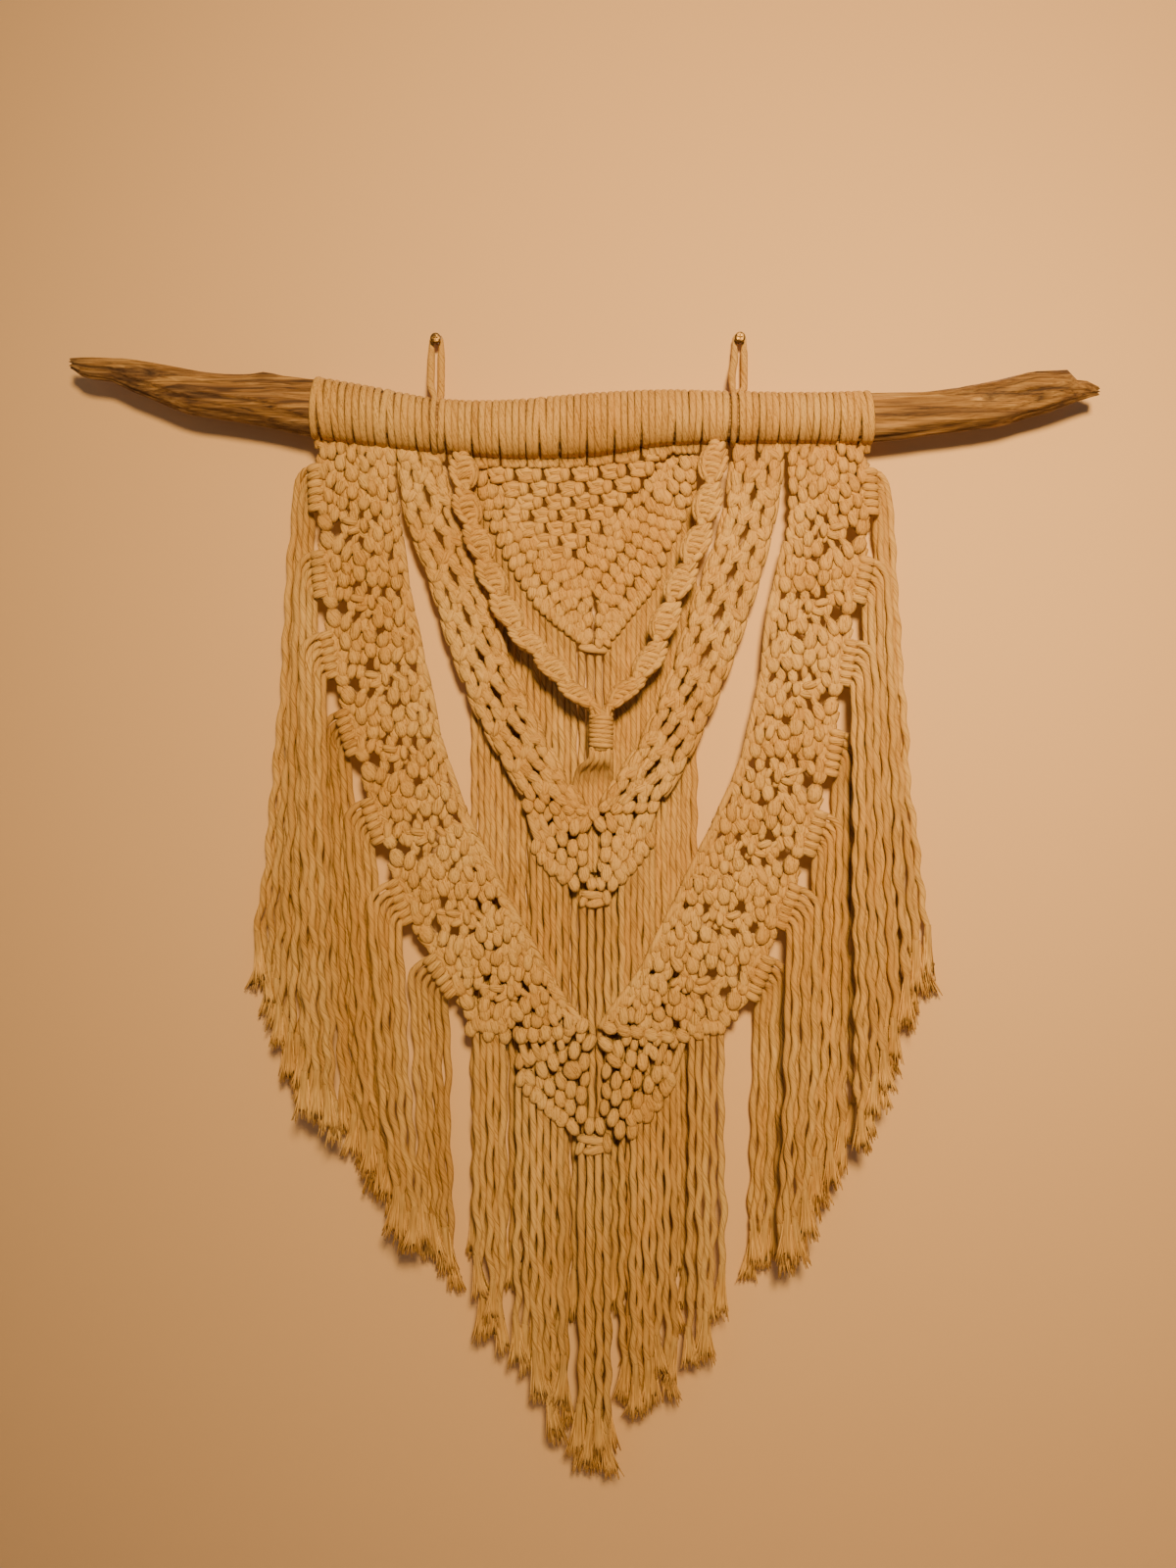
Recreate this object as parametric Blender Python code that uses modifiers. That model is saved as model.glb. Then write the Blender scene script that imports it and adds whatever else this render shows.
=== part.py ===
"""Macrame wall hanging on a driftwood branch.

Frame: metres, +Z up, +X to the viewer's right, the wall is the plane y = 0 and the hanging is in
front of it (y < 0). The origin lies on the wall, midway between the two screws.
The tables below are in millimetres and are turned to metres by MM.
"""
import math
import random

import bmesh
import bpy
from mathutils import Matrix, Vector

MM = 0.001

# ---------------------------------------------------------------- driving dimensions, millimetres
CLEAR = 0.3                # gap between neighbouring pieces
HANGS_UNDER = CLEAR + 0.2  # the cloths' top edges, under the wrapped branch
CORD_WIDTH = 4.6           # hanging cotton strand, side to side
WRAP_THICKNESS = 2.9       # a cord flattened round the branch
LARKS_HEAD_PITCH = 12.4    # a lark's head and the slack beside it
BRANCH_Y = -23.5           # centre line of the branch, from the wall
BRANCH_DEPTH_RATIO = 0.93  # depth of the branch against its height
BRANCH_SIDES = 8
BRANCH_STEP = 21.0         # distance between the branch's even sections
BRANCH_EVEN = (-300.0, 290.0)  # between these the sections are even, outside as in the table
BRANCH_FINE_STEPS = 8      # steps of the smooth curve in each row of the table
WRAP_VALLEY = 0.5          # share of the wraps' thickness left between two knots
SLEEVE_EASE = 0.4          # extra room round the branch, whose sections lie elsewhere

# The branch, from its left tip to its right tip.
# Columns: x, upper edge, lower edge.
BRANCH = (
    (-378.7, -18.0, -25.2),
    (-368.6, -18.0, -32.4),
    (-349.2, -18.7, -35.3),
    (-335.5, -19.8, -41.8),
    (-316.8, -23.0, -49.5),
    (-293.0, -26.6, -59.0),
    (-266.4, -30.2, -63.4),
    (-234.7, -30.6, -68.4),
    (-199.4, -34.6, -75.6),
    (-161.3, -41.0, -79.9),
    (-113.0, -50.0, -85.0),
    (-63.4, -51.5, -89.5),
    (0.0, -46.5, -88.6),
    (54.0, -43.9, -80.6),
    (108.0, -45.0, -79.0),
    (158.4, -45.7, -78.5),
    (207.4, -44.6, -79.2),
    (258.5, -42.0, -73.4),
    (298.8, -34.6, -68.4),
    (321.0, -29.5, -61.9),
    (337.7, -28.1, -57.6),
    (352.0, -28.4, -52.6),
    (360.0, -33.5, -49.7),
    (368.6, -36.0, -46.8),
    (373.7, -40.3, -43.9),
)

# Runs of lark's head knots round the branch.
# Columns: name, left, right.
HEADINGS = (
    ("heading_left", -200.9, -115.2),
    ("heading_centre", -108.8, 102.5),
    ("heading_right", 109.3, 207.4),
)

# Hanging loops: the screw's place on the wall, and where the loop goes round the branch.
# Columns: side, screw's x, screw's z, x on the branch.
LOOPS = (
    ("left", -113.0, 0.0, -112.0),
    ("right", 112.8, 0.7, 105.9),
)
SCREW_SHANK_R = 1.3
SCREW_HEAD_R = 3.9
SCREW_SHANK_LENGTH = 11.5
SCREW_HEAD_THICKNESS = 3.2
SCREW_FACE_SHARE = 0.75    # flat face of the head, against its full width
SCREW_CHAMFER = 0.7
SCREW_RIM = 0.7            # straight side of the head
SCREW_SIDES = 8
MERGE = 0.00001            # metres
LOOP_Y_AT_SCREW = -6.4
LOOP_WRAP_R = 1.2
LOOP_SADDLE_R = 1.25       # the cord where the screw presses it flat
LOOP_CORD_R = 2.3
LOOP_SLACK = 0.2           # more room where it goes round the branch
LOOP_HALF_SPREAD = 3.2     # its two strands, from the screw's middle
LOOP_ROUNDS_OUT = 12.0     # below the screw, where the cord is round again
LOOP_FRONT_LEAN = 2.0
LOOP_FRONT_Y = -24.0       # the front strand, just over the branch
LOOP_FRONT_RISE = 11.0
LOOP_BACK_Y = -6.0         # the back strand, between the branch and the wall
LOOP_BACK_RISE = 9.0
LOOP_STRAND_OFFSET = 3.0
LOOP_TURN_DEGREES = (35, 326, 29)  # round the branch: first, end, step

# Cloth edges, top to bottom. The first row's z is replaced by the underside of the heading
# where the piece hangs from it.
# Columns: x and z of the left edge, x and z of the right edge.
OUTER_BAND_LEFT = (
    (-199.0, -80.0, -142.6, -84.0),
    (-197.3, -139.7, -138.2, -143.3),
    (-193.7, -198.0, -130.3, -198.0),
    (-185.0, -254.9, -118.1, -252.7),
    (-169.9, -310.3, -106.6, -306.0),
    (-150.5, -375.1, -85.0, -362.9),
    (-131.0, -429.8, -52.6, -427.7),
    (-100.8, -480.2, -18.7, -487.4),
    (-86.4, -509.0, 2.6, -514.0),
)
OUTER_BAND_RIGHT = (
    (147.6, -84.0, 203.0, -82.0),
    (146.2, -146.9, 205.9, -143.3),
    (133.9, -199.4, 195.8, -202.3),
    (126.0, -260.6, 185.8, -262.1),
    (109.4, -323.3, 175.0, -326.9),
    (85.0, -375.1, 159.8, -380.9),
    (59.0, -427.7, 140.4, -432.7),
    (34.6, -474.5, 120.2, -481.7),
    (3.4, -514.0, 102.2, -510.5),
)
INNER_BAND_LEFT = (
    (-140.2, -84.0, -109.0, -88.0),
    (-135.4, -131.0, -92.9, -139.7),
    (-117.4, -179.3, -77.0, -186.5),
    (-102.2, -229.7, -58.3, -238.3),
    (-82.1, -280.1, -32.4, -293.8),
    (-59.8, -319.7, -10.8, -334.1),
    (-43.2, -347.8, 3.0, -352.0),
)
INNER_BAND_RIGHT = (
    (106.6, -84.0, 144.7, -84.0),
    (97.9, -139.7, 139.0, -128.9),
    (80.6, -186.5, 126.0, -180.7),
    (63.4, -241.2, 109.4, -231.1),
    (40.3, -295.2, 91.4, -276.5),
    (17.3, -330.5, 68.4, -323.3),
    (3.8, -352.0, 51.8, -347.8),
)
CENTRE_PANEL = (
    (-83.0, -92.0, 83.5, -88.0),
    (-83.6, -114.5, 74.2, -114.5),
    (-70.6, -136.1, 67.7, -136.1),
    (-61.2, -157.7, 56.2, -157.7),
    (-47.5, -180.7, 48.2, -180.7),
    (-33.8, -200.9, 33.1, -200.9),
    (-7.2, -222.5, 15.8, -222.5),
)
INNER_POINT_LEFT = (
    (-44.2, -348.2, 2.4, -352.4),
    (-39.6, -373.7, 1.8, -373.0),
    (-31.7, -389.5, 1.2, -388.0),
    (-14.0, -400.5, 1.8, -401.5),
)
INNER_POINT_RIGHT = (
    (4.4, -352.4, 52.6, -348.2),
    (7.6, -373.0, 46.8, -371.0),
    (8.0, -388.0, 37.0, -387.0),
    (4.6, -401.5, 22.0, -400.5),
)
OUTER_POINT_LEFT = (
    (-54.7, -511.6, 1.8, -514.5),
    (-50.4, -546.5, 1.4, -541.0),
    (-34.6, -565.2, 1.2, -560.0),
    (-16.6, -579.6, 1.8, -577.5),
)
OUTER_POINT_RIGHT = (
    (4.6, -514.4, 68.0, -512.3),
    (10.4, -541.0, 61.9, -546.5),
    (10.8, -560.0, 48.2, -566.0),
    (7.4, -577.5, 30.2, -580.6),
)

# Square knots that close each point.
# Columns: name, x, z, width, height, y of the knot, y of its strands.
CLOSING_KNOTS = (
    ("closing_knot_centre", 4.8, -228.9, 25.0, 12.0, -13.0, -5.5),
    ("closing_knot_inner", 5.4, -411.9, 23.0, 21.0, -19.0, -14.0),
    ("closing_knot_outer", 4.4, -591.2, 27.0, 26.0, -22.5, -21.5),
)

# Spiral sinnets: centre line from the branch to the gathering knot.
# Columns: x, z.
SPIRAL_LEFT = (
    (-91.4, -95.5),
    (-88.6, -125.3),
    (-79.2, -154.1),
    (-67.0, -186.5),
    (-53.3, -214.6),
    (-31.5, -238.3),
    (-11.0, -262.0),
    (3.6, -274.9),
)
SPIRAL_RIGHT = (
    (92.8, -90.5),
    (87.0, -125.3),
    (76.5, -161.0),
    (60.5, -198.0),
    (47.0, -236.0),
    (36.5, -253.0),
    (25.5, -264.0),
    (15.6, -275.6),
)
SPIRAL_HALF_TURN = 28.8
SPIRAL_HALF_WIDTH = 8.6
SPIRAL_HALF_THICKNESS = 4.3
SPIRAL_Y_TOP = -27.0
SPIRAL_Y = -31.0
SPIRAL_RINGS_PER_HALF_TURN = 4
SPIRAL_HANGS = 0.9         # its slanted top lies this far under the heading
SPIRAL_COMES_FORWARD = 40.0  # length over which it goes from SPIRAL_Y_TOP to SPIRAL_Y
SPIRAL_NARROWS = 26.0      # length before the gathering knot where it draws in
SPIRAL_END_SHARE = 0.5     # and how much of its width it loses there
SPIRAL_SECTION_DEGREES = (0, 55, 125, 180, 235, 305)
SPIRAL_STEPS = 12

GATHER_X = 9.6
GATHER_TOP = -278.0
GATHER_BOTTOM = -307.0
GATHER_R = 9.4
GATHER_TURNS = 5
GATHER_GROOVE = 1.6        # depth of the groove between two turns
GATHER_SIDES = 10
TAIL_Y = -11.2
TAIL_END = -396.0
TAILS = 6
TAIL_STEP = 4.8
TAIL_R = 2.3
TAIL_STEP_IN_KNOT = 2.4
TAIL_ROW_IN_KNOT = 2.2     # two rows in depth, each this far from the knot's middle
TAIL_SHIFT = 6.0           # the tails hang this far to the left of the knot
TAIL_SPREADS = 23.0        # below the knot, where each has its own place

# Lower edge of the whole fringe, left to right.
# Columns: x, z.
CONTOUR = (
    (-249.8, -475.9),
    (-216.0, -560.9),
    (-168.5, -618.5),
    (-124.6, -679.7),
    (-69.1, -754.6),
    (-38.9, -784.1),
    (-12.2, -798.5),
    (14.4, -851.8),
    (38.2, -794.9),
    (76.3, -779.0),
    (110.9, -707.8),
    (152.6, -681.8),
    (193.0, -612.0),
    (228.2, -533.5),
    (257.0, -474.5),
)

# Depth from the wall of each layer.
OUTER_Y = -23.0
INNER_Y = -19.0
CENTRE_Y = -12.5
OUTER_STRAND_Y = -21.5
INNER_STRAND_Y = -14.0
CENTRE_STRAND_Y = -5.5
PANEL_THICKNESS = 8.0
HOLE_INSET = 0.05          # a first thin rim, which the hole's share then widens
HOLE_RIM_RIDGE = 0.7       # share of the thickness at a hole's rim
VALLEY_RIDGE = 0.6         # share of the thickness between two hitches
NET_VALLEY_RIDGE = 0.72    # and between two knots of the net
INNER_TOP_PROUD = 2.0      # the net's top, against the rest of it
INNER_TOP_SPANS = 1.5      # units down the table where that is gone
CENTRE_TOP_PROUD = 5.5
CENTRE_TOP_SPANS = 2.5
FLOWERS = 7                # flower knots in an outer band
OUTER_HOLE_SHARE = 0.74    # a hole's width against its cell's
INNER_HOLE_SHARE = 0.68
CENTRE_HOLE_SHARE = 0.5

# Side fringes: seven to a side, five strands each.
SIDE_FRINGES = 7
FRINGE_STRANDS = 5
FRINGE_FIRST_SPAN = 0.6    # place of the first along the band, in units of the band
FRINGE_SPAN_STEP = 1.03
FRINGE_HALF_LENGTH = 13.5
FRINGE_BLOCK_R = 4.2
FRINGE_STRAND_STEP = 4.3
FRINGE_GAP = CLEAR + 0.15  # from the band's edge to the lark's heads
FRINGE_FIRST_OUT = 3.6     # the innermost strand, from the lark's heads' outer edge
FRINGE_ROOT_OUT = 1.2      # the strands' roots, from the lark's heads' middle
FRINGE_ROOT_RUN = (-0.8, 1.5)  # first root and its run to the last, in half lengths
FRINGE_BLOCK_VALLEY = 0.72
FRINGE_RAGGED = 12.0       # most that a strand ends above the lower edge
FRINGE_SEED = 100
FRINGE_LAYERS = (-8.2, -18.3, -34.8)   # neighbouring fringes hang at three depths
FRINGE_STAGGER = 2.4       # and neighbouring strands a little apart
STRAND_SETTLES = 30.0      # below its root, where a strand reaches its layer
STRAND_ROOT_SHARE = 0.8    # its thickness in the knot
STRAND_TIP_SHARE = 1.15    # and at its brushed tip
STRAND_LEAVES = 0.7        # share of its way to its layer just below the root
STRAND_BEND = 1.5
LEFT_TIP_FIRST = -236.9    # where the outermost fringe's tips hang
LEFT_TIP_LAST = -110.2
RIGHT_TIP_FIRST = 243.0
RIGHT_TIP_LAST = 130.0

# Fringes that fall from the slanting edges.
EDGE_GAP = 1.2             # from a panel's edge to the strip under it
EDGE_STRIP_SPARE = 0.3     # the strip's radius against half a cord
EDGE_RIDGES = (0.94, 1.12)  # shares of that radius in turn along the strip
EDGE_MARGIN = 1.5          # from the strip's ends to the first and last strand
EDGE_ROOT_BACK = 0.4
EDGE_SHORTEST = 60.0       # least length of a strand
HEM_OUT = 4.5              # the hem's strip goes past the point's corner
HEM_END = 1.0
EDGE_SEEDS = {"centre": 11, "inner": 21, "outer": 31, "hem": 41}

# Square knots that close the points, in shares of their width and height.
KNOT_BAR_HEIGHT = 0.23     # the two bars, above and below the middle
KNOT_BAR_ENDS = 0.7
KNOT_BAR_SWELL = 1.05
KNOT_BAR_PROUD = 0.8
KNOT_LOOP_ACROSS = (0.22, 0.26)
KNOT_LOOP_HALF_HEIGHT = 0.42
KNOT_LOOP_PROUD = (0.4, 0.21)
KNOT_LOOP_R = (2.6, 3.0)
KNOT_STRANDS = 4
KNOT_STRAND_STEP = 5.3
KNOT_ROOT_BACK = 0.6
KNOT_ROOT_DOWN = 0.3
KNOT_RAGGED = 30.0
EPSILON = 1e-6

COTTON = (0.60, 0.40, 0.20, 1.0)
WOOD = (0.30, 0.16, 0.07, 1.0)
METAL = (0.22, 0.16, 0.09, 1.0)


# ---------------------------------------------------------------- small helpers
def smooth(rows, position):
    """A row between the rows of a table, on a curve that runs through all of them."""
    last = len(rows) - 1
    index = min(max(int(math.floor(position)), 0), last - 1)
    t = min(max(position - index, 0.0), 1.0)
    p0 = rows[max(index - 1, 0)]
    p1 = rows[index]
    p2 = rows[index + 1]
    p3 = rows[min(index + 2, last)]
    result = []
    for a, b, c, d in zip(p0, p1, p2, p3):
        slope_b = (c - a) / 2
        slope_c = (d - b) / 2
        blend = (2 * t**3 - 3 * t**2 + 1) * b + (t**3 - 2 * t**2 + t) * slope_b
        result.append(blend + (-2 * t**3 + 3 * t**2) * c + (t**3 - t**2) * slope_c)
    return result


def at_x(rows, x):
    """The other columns of a table at a given first column, by straight runs."""
    for low, high in zip(rows, rows[1:]):
        if x <= high[0]:
            t = max((x - low[0]) / (high[0] - low[0]), 0.0)
            return [a + (b - a) * t for a, b in zip(low[1:], high[1:])]
    return list(rows[-1][1:])


def ease(t):
    t = min(max(t, 0.0), 1.0)
    return t * t * (3 - 2 * t)


def clear_scene():
    for item in list(bpy.data.objects):
        bpy.data.objects.remove(item, do_unlink=True)


def make_collection(name):
    collection = bpy.data.collections.new(name)
    bpy.context.scene.collection.children.link(collection)
    return collection


def make_material(name, colour, roughness, metallic):
    material = bpy.data.materials.new(name)
    material.use_nodes = True
    shader = material.node_tree.nodes["Principled BSDF"]
    shader.inputs["Base Color"].default_value = colour
    shader.inputs["Roughness"].default_value = roughness
    shader.inputs["Metallic"].default_value = metallic
    return material


def add_piece(name, mesh, colour=COTTON, roughness=0.9, metallic=0.0):
    """A named piece with a material of its own, in the hanging's collection."""
    mesh.materials.clear()
    mesh.materials.append(make_material(name + "_finish", colour, roughness, metallic))
    piece = bpy.data.objects.new(name, mesh)
    HANGING.objects.link(piece)
    return piece


def evaluated_mesh(item):
    """The mesh of an object with its modifiers or bevel worked out."""
    bpy.context.view_layer.update()
    graph = bpy.context.evaluated_depsgraph_get()
    return bpy.data.meshes.new_from_object(item.evaluated_get(graph))


def weld(mesh):
    bm = bmesh.new()
    bm.from_mesh(mesh)
    bmesh.ops.remove_doubles(bm, verts=bm.verts, dist=MERGE)
    bmesh.ops.recalc_face_normals(bm, faces=bm.faces)
    bm.to_mesh(mesh)
    bm.free()
    return mesh


def loft(rings, closed):
    """A mesh through rings of points; closed joins the last ring to the first."""
    bm = bmesh.new()
    loops = [[bm.verts.new(point) for point in ring] for ring in rings]
    count = len(loops[0])
    pairs = list(zip(loops, loops[1:]))
    if closed:
        pairs.append((loops[-1], loops[0]))
    for near, far in pairs:
        for i in range(count):
            j = (i + 1) % count
            bm.faces.new((near[i], near[j], far[j], far[i]))
    if not closed:
        bm.faces.new(loops[0])
        bm.faces.new(loops[-1])
    bmesh.ops.recalc_face_normals(bm, faces=bm.faces)
    mesh = bpy.data.meshes.new("loft")
    bm.to_mesh(mesh)
    bm.free()
    return mesh


def tube_mesh(routes, sides, cyclic=False):
    """Round tubes through routes of (x, y, z, radius) in millimetres, as one welded mesh.

    Three-sided tubes take their section from a small triangle, the rest from the bevel."""
    curve = bpy.data.curves.new("tubes", "CURVE")
    curve.dimensions = "3D"
    curve.resolution_u = 1
    curve.render_resolution_u = 0
    curve.use_fill_caps = True
    profile = None
    if sides == 3:
        profile = triangle_profile()
        curve.bevel_mode = "OBJECT"
        curve.bevel_object = profile
    else:
        curve.bevel_depth = MM
        curve.bevel_resolution = (sides - 4) // 2
    for route in routes:
        spline = curve.splines.new("POLY")
        spline.points.add(len(route) - 1)
        spline.use_cyclic_u = cyclic
        for point, (x, y, z, radius) in zip(spline.points, route):
            point.co = (x * MM, y * MM, z * MM, 1.0)
            point.radius = radius
    item = bpy.data.objects.new("tubes", curve)
    GUIDES.objects.link(item)
    mesh = weld(evaluated_mesh(item))
    bpy.data.objects.remove(item, do_unlink=True)
    if profile:
        bpy.data.objects.remove(profile, do_unlink=True)
    return mesh


def triangle_profile():
    curve = bpy.data.curves.new("triangle", "CURVE")
    spline = curve.splines.new("POLY")
    spline.points.add(2)
    spline.use_cyclic_u = True
    for i, point in enumerate(spline.points):
        angle = math.radians(90 + 120 * i)
        point.co = (math.cos(angle) * MM, math.sin(angle) * MM, 0.0, 1.0)
    item = bpy.data.objects.new("triangle", curve)
    GUIDES.objects.link(item)
    return item


def united(mesh, other):
    """One mesh from two that overlap."""
    base = bpy.data.objects.new("base", mesh)
    tool = bpy.data.objects.new("tool", other)
    GUIDES.objects.link(base)
    GUIDES.objects.link(tool)
    join = base.modifiers.new("join", "BOOLEAN")
    join.operation = "UNION"
    join.solver = "EXACT"
    join.object = tool
    result = evaluated_mesh(base)
    bpy.data.objects.remove(base, do_unlink=True)
    bpy.data.objects.remove(tool, do_unlink=True)
    return result


# ---------------------------------------------------------------- branch, heading, loops, screws
def branch_section(x, grow, sides):
    """A ring of points round the branch at x, larger than the wood by grow."""
    top, bottom = at_x(BRANCH_SMOOTH, x)
    half = (top - bottom) / 2
    centre = (top + bottom) / 2
    ring = []
    for i in range(sides):
        angle = 2 * math.pi * i / sides
        y = BRANCH_Y + (half * BRANCH_DEPTH_RATIO + grow) * math.sin(angle)
        z = centre + (half + grow) * math.cos(angle)
        ring.append(Vector((x, y, z)) * MM)
    return ring


def branch_table():
    """The branch's sections at even steps, on a smooth curve."""
    rows = []
    for i in range((len(BRANCH) - 1) * BRANCH_FINE_STEPS + 1):
        rows.append(smooth(BRANCH, i / BRANCH_FINE_STEPS))
    return rows


def underside(x):
    """Lowest line of the wrapped branch at x."""
    return at_x(BRANCH_SMOOTH, x)[1] - WRAP_THICKNESS


def make_branch():
    low, high = BRANCH_EVEN
    stations = [row[0] for row in BRANCH if not low < row[0] < high]
    left = max(x for x in stations if x < 0)
    right = min(x for x in stations if x > 0)
    count = round((right - left) / BRANCH_STEP)
    stations += [left + (right - left) * i / count for i in range(1, count)]
    rings = [branch_section(x, 0.0, BRANCH_SIDES) for x in sorted(stations)]
    add_piece("driftwood_branch", loft(rings, closed=False), WOOD, 0.8)


def make_heading(name, left, right):
    """Lark's heads side by side: a sleeve round the branch with a ridge for each."""
    knots = round((right - left) / LARKS_HEAD_PITCH)
    valley = WRAP_THICKNESS * WRAP_VALLEY
    rings = []
    for i in range(2 * knots + 1):
        x = left + (right - left) * i / (2 * knots)
        rings.append(branch_section(x, WRAP_THICKNESS if i % 2 else valley, BRANCH_SIDES))
    inner = max(round((right - left) / BRANCH_STEP), 2)
    for i in range(inner, -1, -1):
        x = left + (right - left) * i / inner
        rings.append(branch_section(x, CLEAR + SLEEVE_EASE, BRANCH_SIDES))
    add_piece(name, loft(rings, closed=True))


def make_screw(side, x, z):
    """A turned screw, its flat end on the wall."""
    neck = -SCREW_SHANK_LENGTH
    face = neck - SCREW_HEAD_THICKNESS
    profile = (
        (0.0, face),
        (SCREW_HEAD_R * SCREW_FACE_SHARE, face),
        (SCREW_HEAD_R, face + SCREW_CHAMFER),
        (SCREW_HEAD_R, face + SCREW_CHAMFER + SCREW_RIM),
        (SCREW_SHANK_R, neck),
        (SCREW_SHANK_R, 0.0),
        (0.0, 0.0),
    )
    mesh = bpy.data.meshes.new("screw")
    points = [(r * MM, y * MM, 0.0) for r, y in profile]
    edges = [(i, i + 1) for i in range(len(points) - 1)]
    mesh.from_pydata(points, edges, [])
    item = bpy.data.objects.new("screw", mesh)
    GUIDES.objects.link(item)
    turn = item.modifiers.new("turn", "SCREW")
    turn.axis = "Y"
    turn.steps = SCREW_SIDES
    turn.render_steps = SCREW_SIDES
    turn.use_merge_vertices = True
    turn.merge_threshold = MERGE
    turned = weld(evaluated_mesh(item))
    bpy.data.objects.remove(item, do_unlink=True)
    turned.transform(Matrix.Translation((x * MM, 0.0, z * MM)))
    add_piece("screw_" + side, turned, METAL, 0.4, 1.0)


def make_loop(side, screw_x, screw_z, ring_x):
    """A cord over the screw, down in front of the branch, round it and up behind it."""
    top, bottom = at_x(BRANCH_SMOOTH, ring_x)
    half = (top - bottom) / 2
    centre = (top + bottom) / 2
    reach = CLEAR + SLEEVE_EASE + LOOP_WRAP_R + LOOP_SLACK
    saddle = SCREW_SHANK_R + CLEAR + SLEEVE_EASE + LOOP_SADDLE_R
    arc = []
    for degrees in (90, 45, 0):
        angle = math.radians(degrees)
        arc.append((saddle * math.cos(angle), screw_z + saddle * math.sin(angle)))
    route = []
    for offset, z in arc:
        route.append((screw_x - offset, LOOP_Y_AT_SCREW, z, LOOP_SADDLE_R))
    below = screw_z - LOOP_ROUNDS_OUT
    front_x = (screw_x + ring_x) / 2 - LOOP_STRAND_OFFSET
    back_x = screw_x + LOOP_STRAND_OFFSET
    route.append((screw_x - LOOP_HALF_SPREAD, LOOP_Y_AT_SCREW - LOOP_FRONT_LEAN, below, LOOP_CORD_R))
    route.append((front_x, LOOP_FRONT_Y, top + LOOP_FRONT_RISE, LOOP_CORD_R))
    for degrees in range(*LOOP_TURN_DEGREES):
        angle = math.radians(degrees)
        y = BRANCH_Y - (half * BRANCH_DEPTH_RATIO + reach) * math.sin(angle)
        z = centre + (half + reach) * math.cos(angle)
        route.append((ring_x, y, z, LOOP_WRAP_R))
    route.append((back_x, LOOP_BACK_Y, top + LOOP_BACK_RISE, LOOP_CORD_R))
    route.append((screw_x + LOOP_HALF_SPREAD, LOOP_Y_AT_SCREW, below, LOOP_CORD_R))
    for offset, z in arc[:0:-1]:
        route.append((screw_x + offset, LOOP_Y_AT_SCREW, z, LOOP_SADDLE_R))
    add_piece("hanging_loop_" + side, tube_mesh([route], 4, cyclic=True))


# ---------------------------------------------------------------- knotted cloth
def hang_from_heading(table):
    """The table with its first row just under the heading."""
    first = table[0]
    left_z = underside(first[0]) - HANGS_UNDER
    right_z = underside(first[2]) - HANGS_UNDER
    top = (first[0], left_z, first[2], right_z)
    return (top,) + tuple(table[1:])


def make_panel(name, table, lines, rows_per_span, holes, ridge, depth, hole_share):
    """Knotted cloth between two edges, flat behind and ridged in front.

    lines are the columns' borders from 0 to 1, holes is a set of (column, row) cells that are cut
    through to hole_share of their width, ridge gives a corner's share of the full thickness and
    depth its place in y."""
    columns = len(lines) - 1
    rows = (len(table) - 1) * rows_per_span
    bm = bmesh.new()
    bmesh.ops.create_grid(bm, x_segments=columns, y_segments=rows, size=1.0)
    layer = bm.verts.layers.deform.verify()
    cell = {}
    for face in bm.faces:
        middle = face.calc_center_median()
        column = int((middle.x + 1) / 2 * columns)
        row = rows - 1 - int((middle.y + 1) / 2 * rows)
        cell[(column, row)] = face
    for vert in bm.verts:
        i = round((vert.co.x + 1) / 2 * columns)
        j = rows - round((vert.co.y + 1) / 2 * rows)
        left_x, left_z, right_x, right_z = smooth(table, j / rows_per_span)
        u = lines[i]
        x = left_x + (right_x - left_x) * u
        z = left_z + (right_z - left_z) * u
        if j == 0:
            z = min(z, underside(x) - HANGS_UNDER)
        vert.co = Vector((x, depth(j / rows_per_span) + PANEL_THICKNESS / 2, z)) * MM
        vert[layer][0] = ridge(i, j)
    cut = [cell[place] for place in holes if place in cell]
    if cut:
        bmesh.ops.inset_individual(bm, faces=cut, thickness=HOLE_INSET * MM)
        for face in cut:
            middle = face.calc_center_median()
            for vert in face.verts:
                vert.co = middle.lerp(vert.co, hole_share)
                vert[layer][0] = HOLE_RIM_RIDGE
        bmesh.ops.delete(bm, geom=cut, context="FACES")
    mesh = bpy.data.meshes.new(name)
    bm.to_mesh(mesh)
    bm.free()
    piece = add_piece(name, mesh)
    piece.vertex_groups.new(name="ridge")
    solid = piece.modifiers.new("thickness", "SOLIDIFY")
    solid.thickness = PANEL_THICKNESS * MM
    solid.offset = 1.0
    solid.vertex_group = "ridge"
    return piece


def knot_ridge(i, j):
    """Half hitches in slanting rows: every second corner stands proud."""
    return 1.0 if (i + j) % 2 == 0 else VALLEY_RIDGE


def net_ridge(i, j):
    return 1.0 if j % 2 == 0 else NET_VALLEY_RIDGE


OUTER_LINES = (0.0, 0.16, 0.30, 0.42, 0.58, 0.70, 0.84, 1.0)
OUTER_ROWS = 4
INNER_LINES = (0.0, 0.2, 0.4, 0.6, 0.8, 1.0)
INNER_ROWS = 3
CENTRE_COLUMNS_COUNT = 11
CENTRE_ROWS = 2
POINT_LINES = (0.0, 0.25, 0.5, 0.75, 1.0)


def make_outer_bands():
    """Seven flower knots to a band, each in a ring of four holes."""
    holes = set()
    for flower in range(1, FLOWERS + 1):
        level = flower * OUTER_ROWS
        holes |= {(1, level - 1), (5, level - 1), (2, level), (4, level)}
    for name, table in (("outer_band_left", OUTER_BAND_LEFT), ("outer_band_right", OUTER_BAND_RIGHT)):
        make_panel(name, hang_from_heading(table), OUTER_LINES, OUTER_ROWS, holes, knot_ridge,
                   lambda v: OUTER_Y, OUTER_HOLE_SHARE)


def inner_depth(v):
    return INNER_Y - INNER_TOP_PROUD * (1 - ease(v / INNER_TOP_SPANS))


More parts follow.
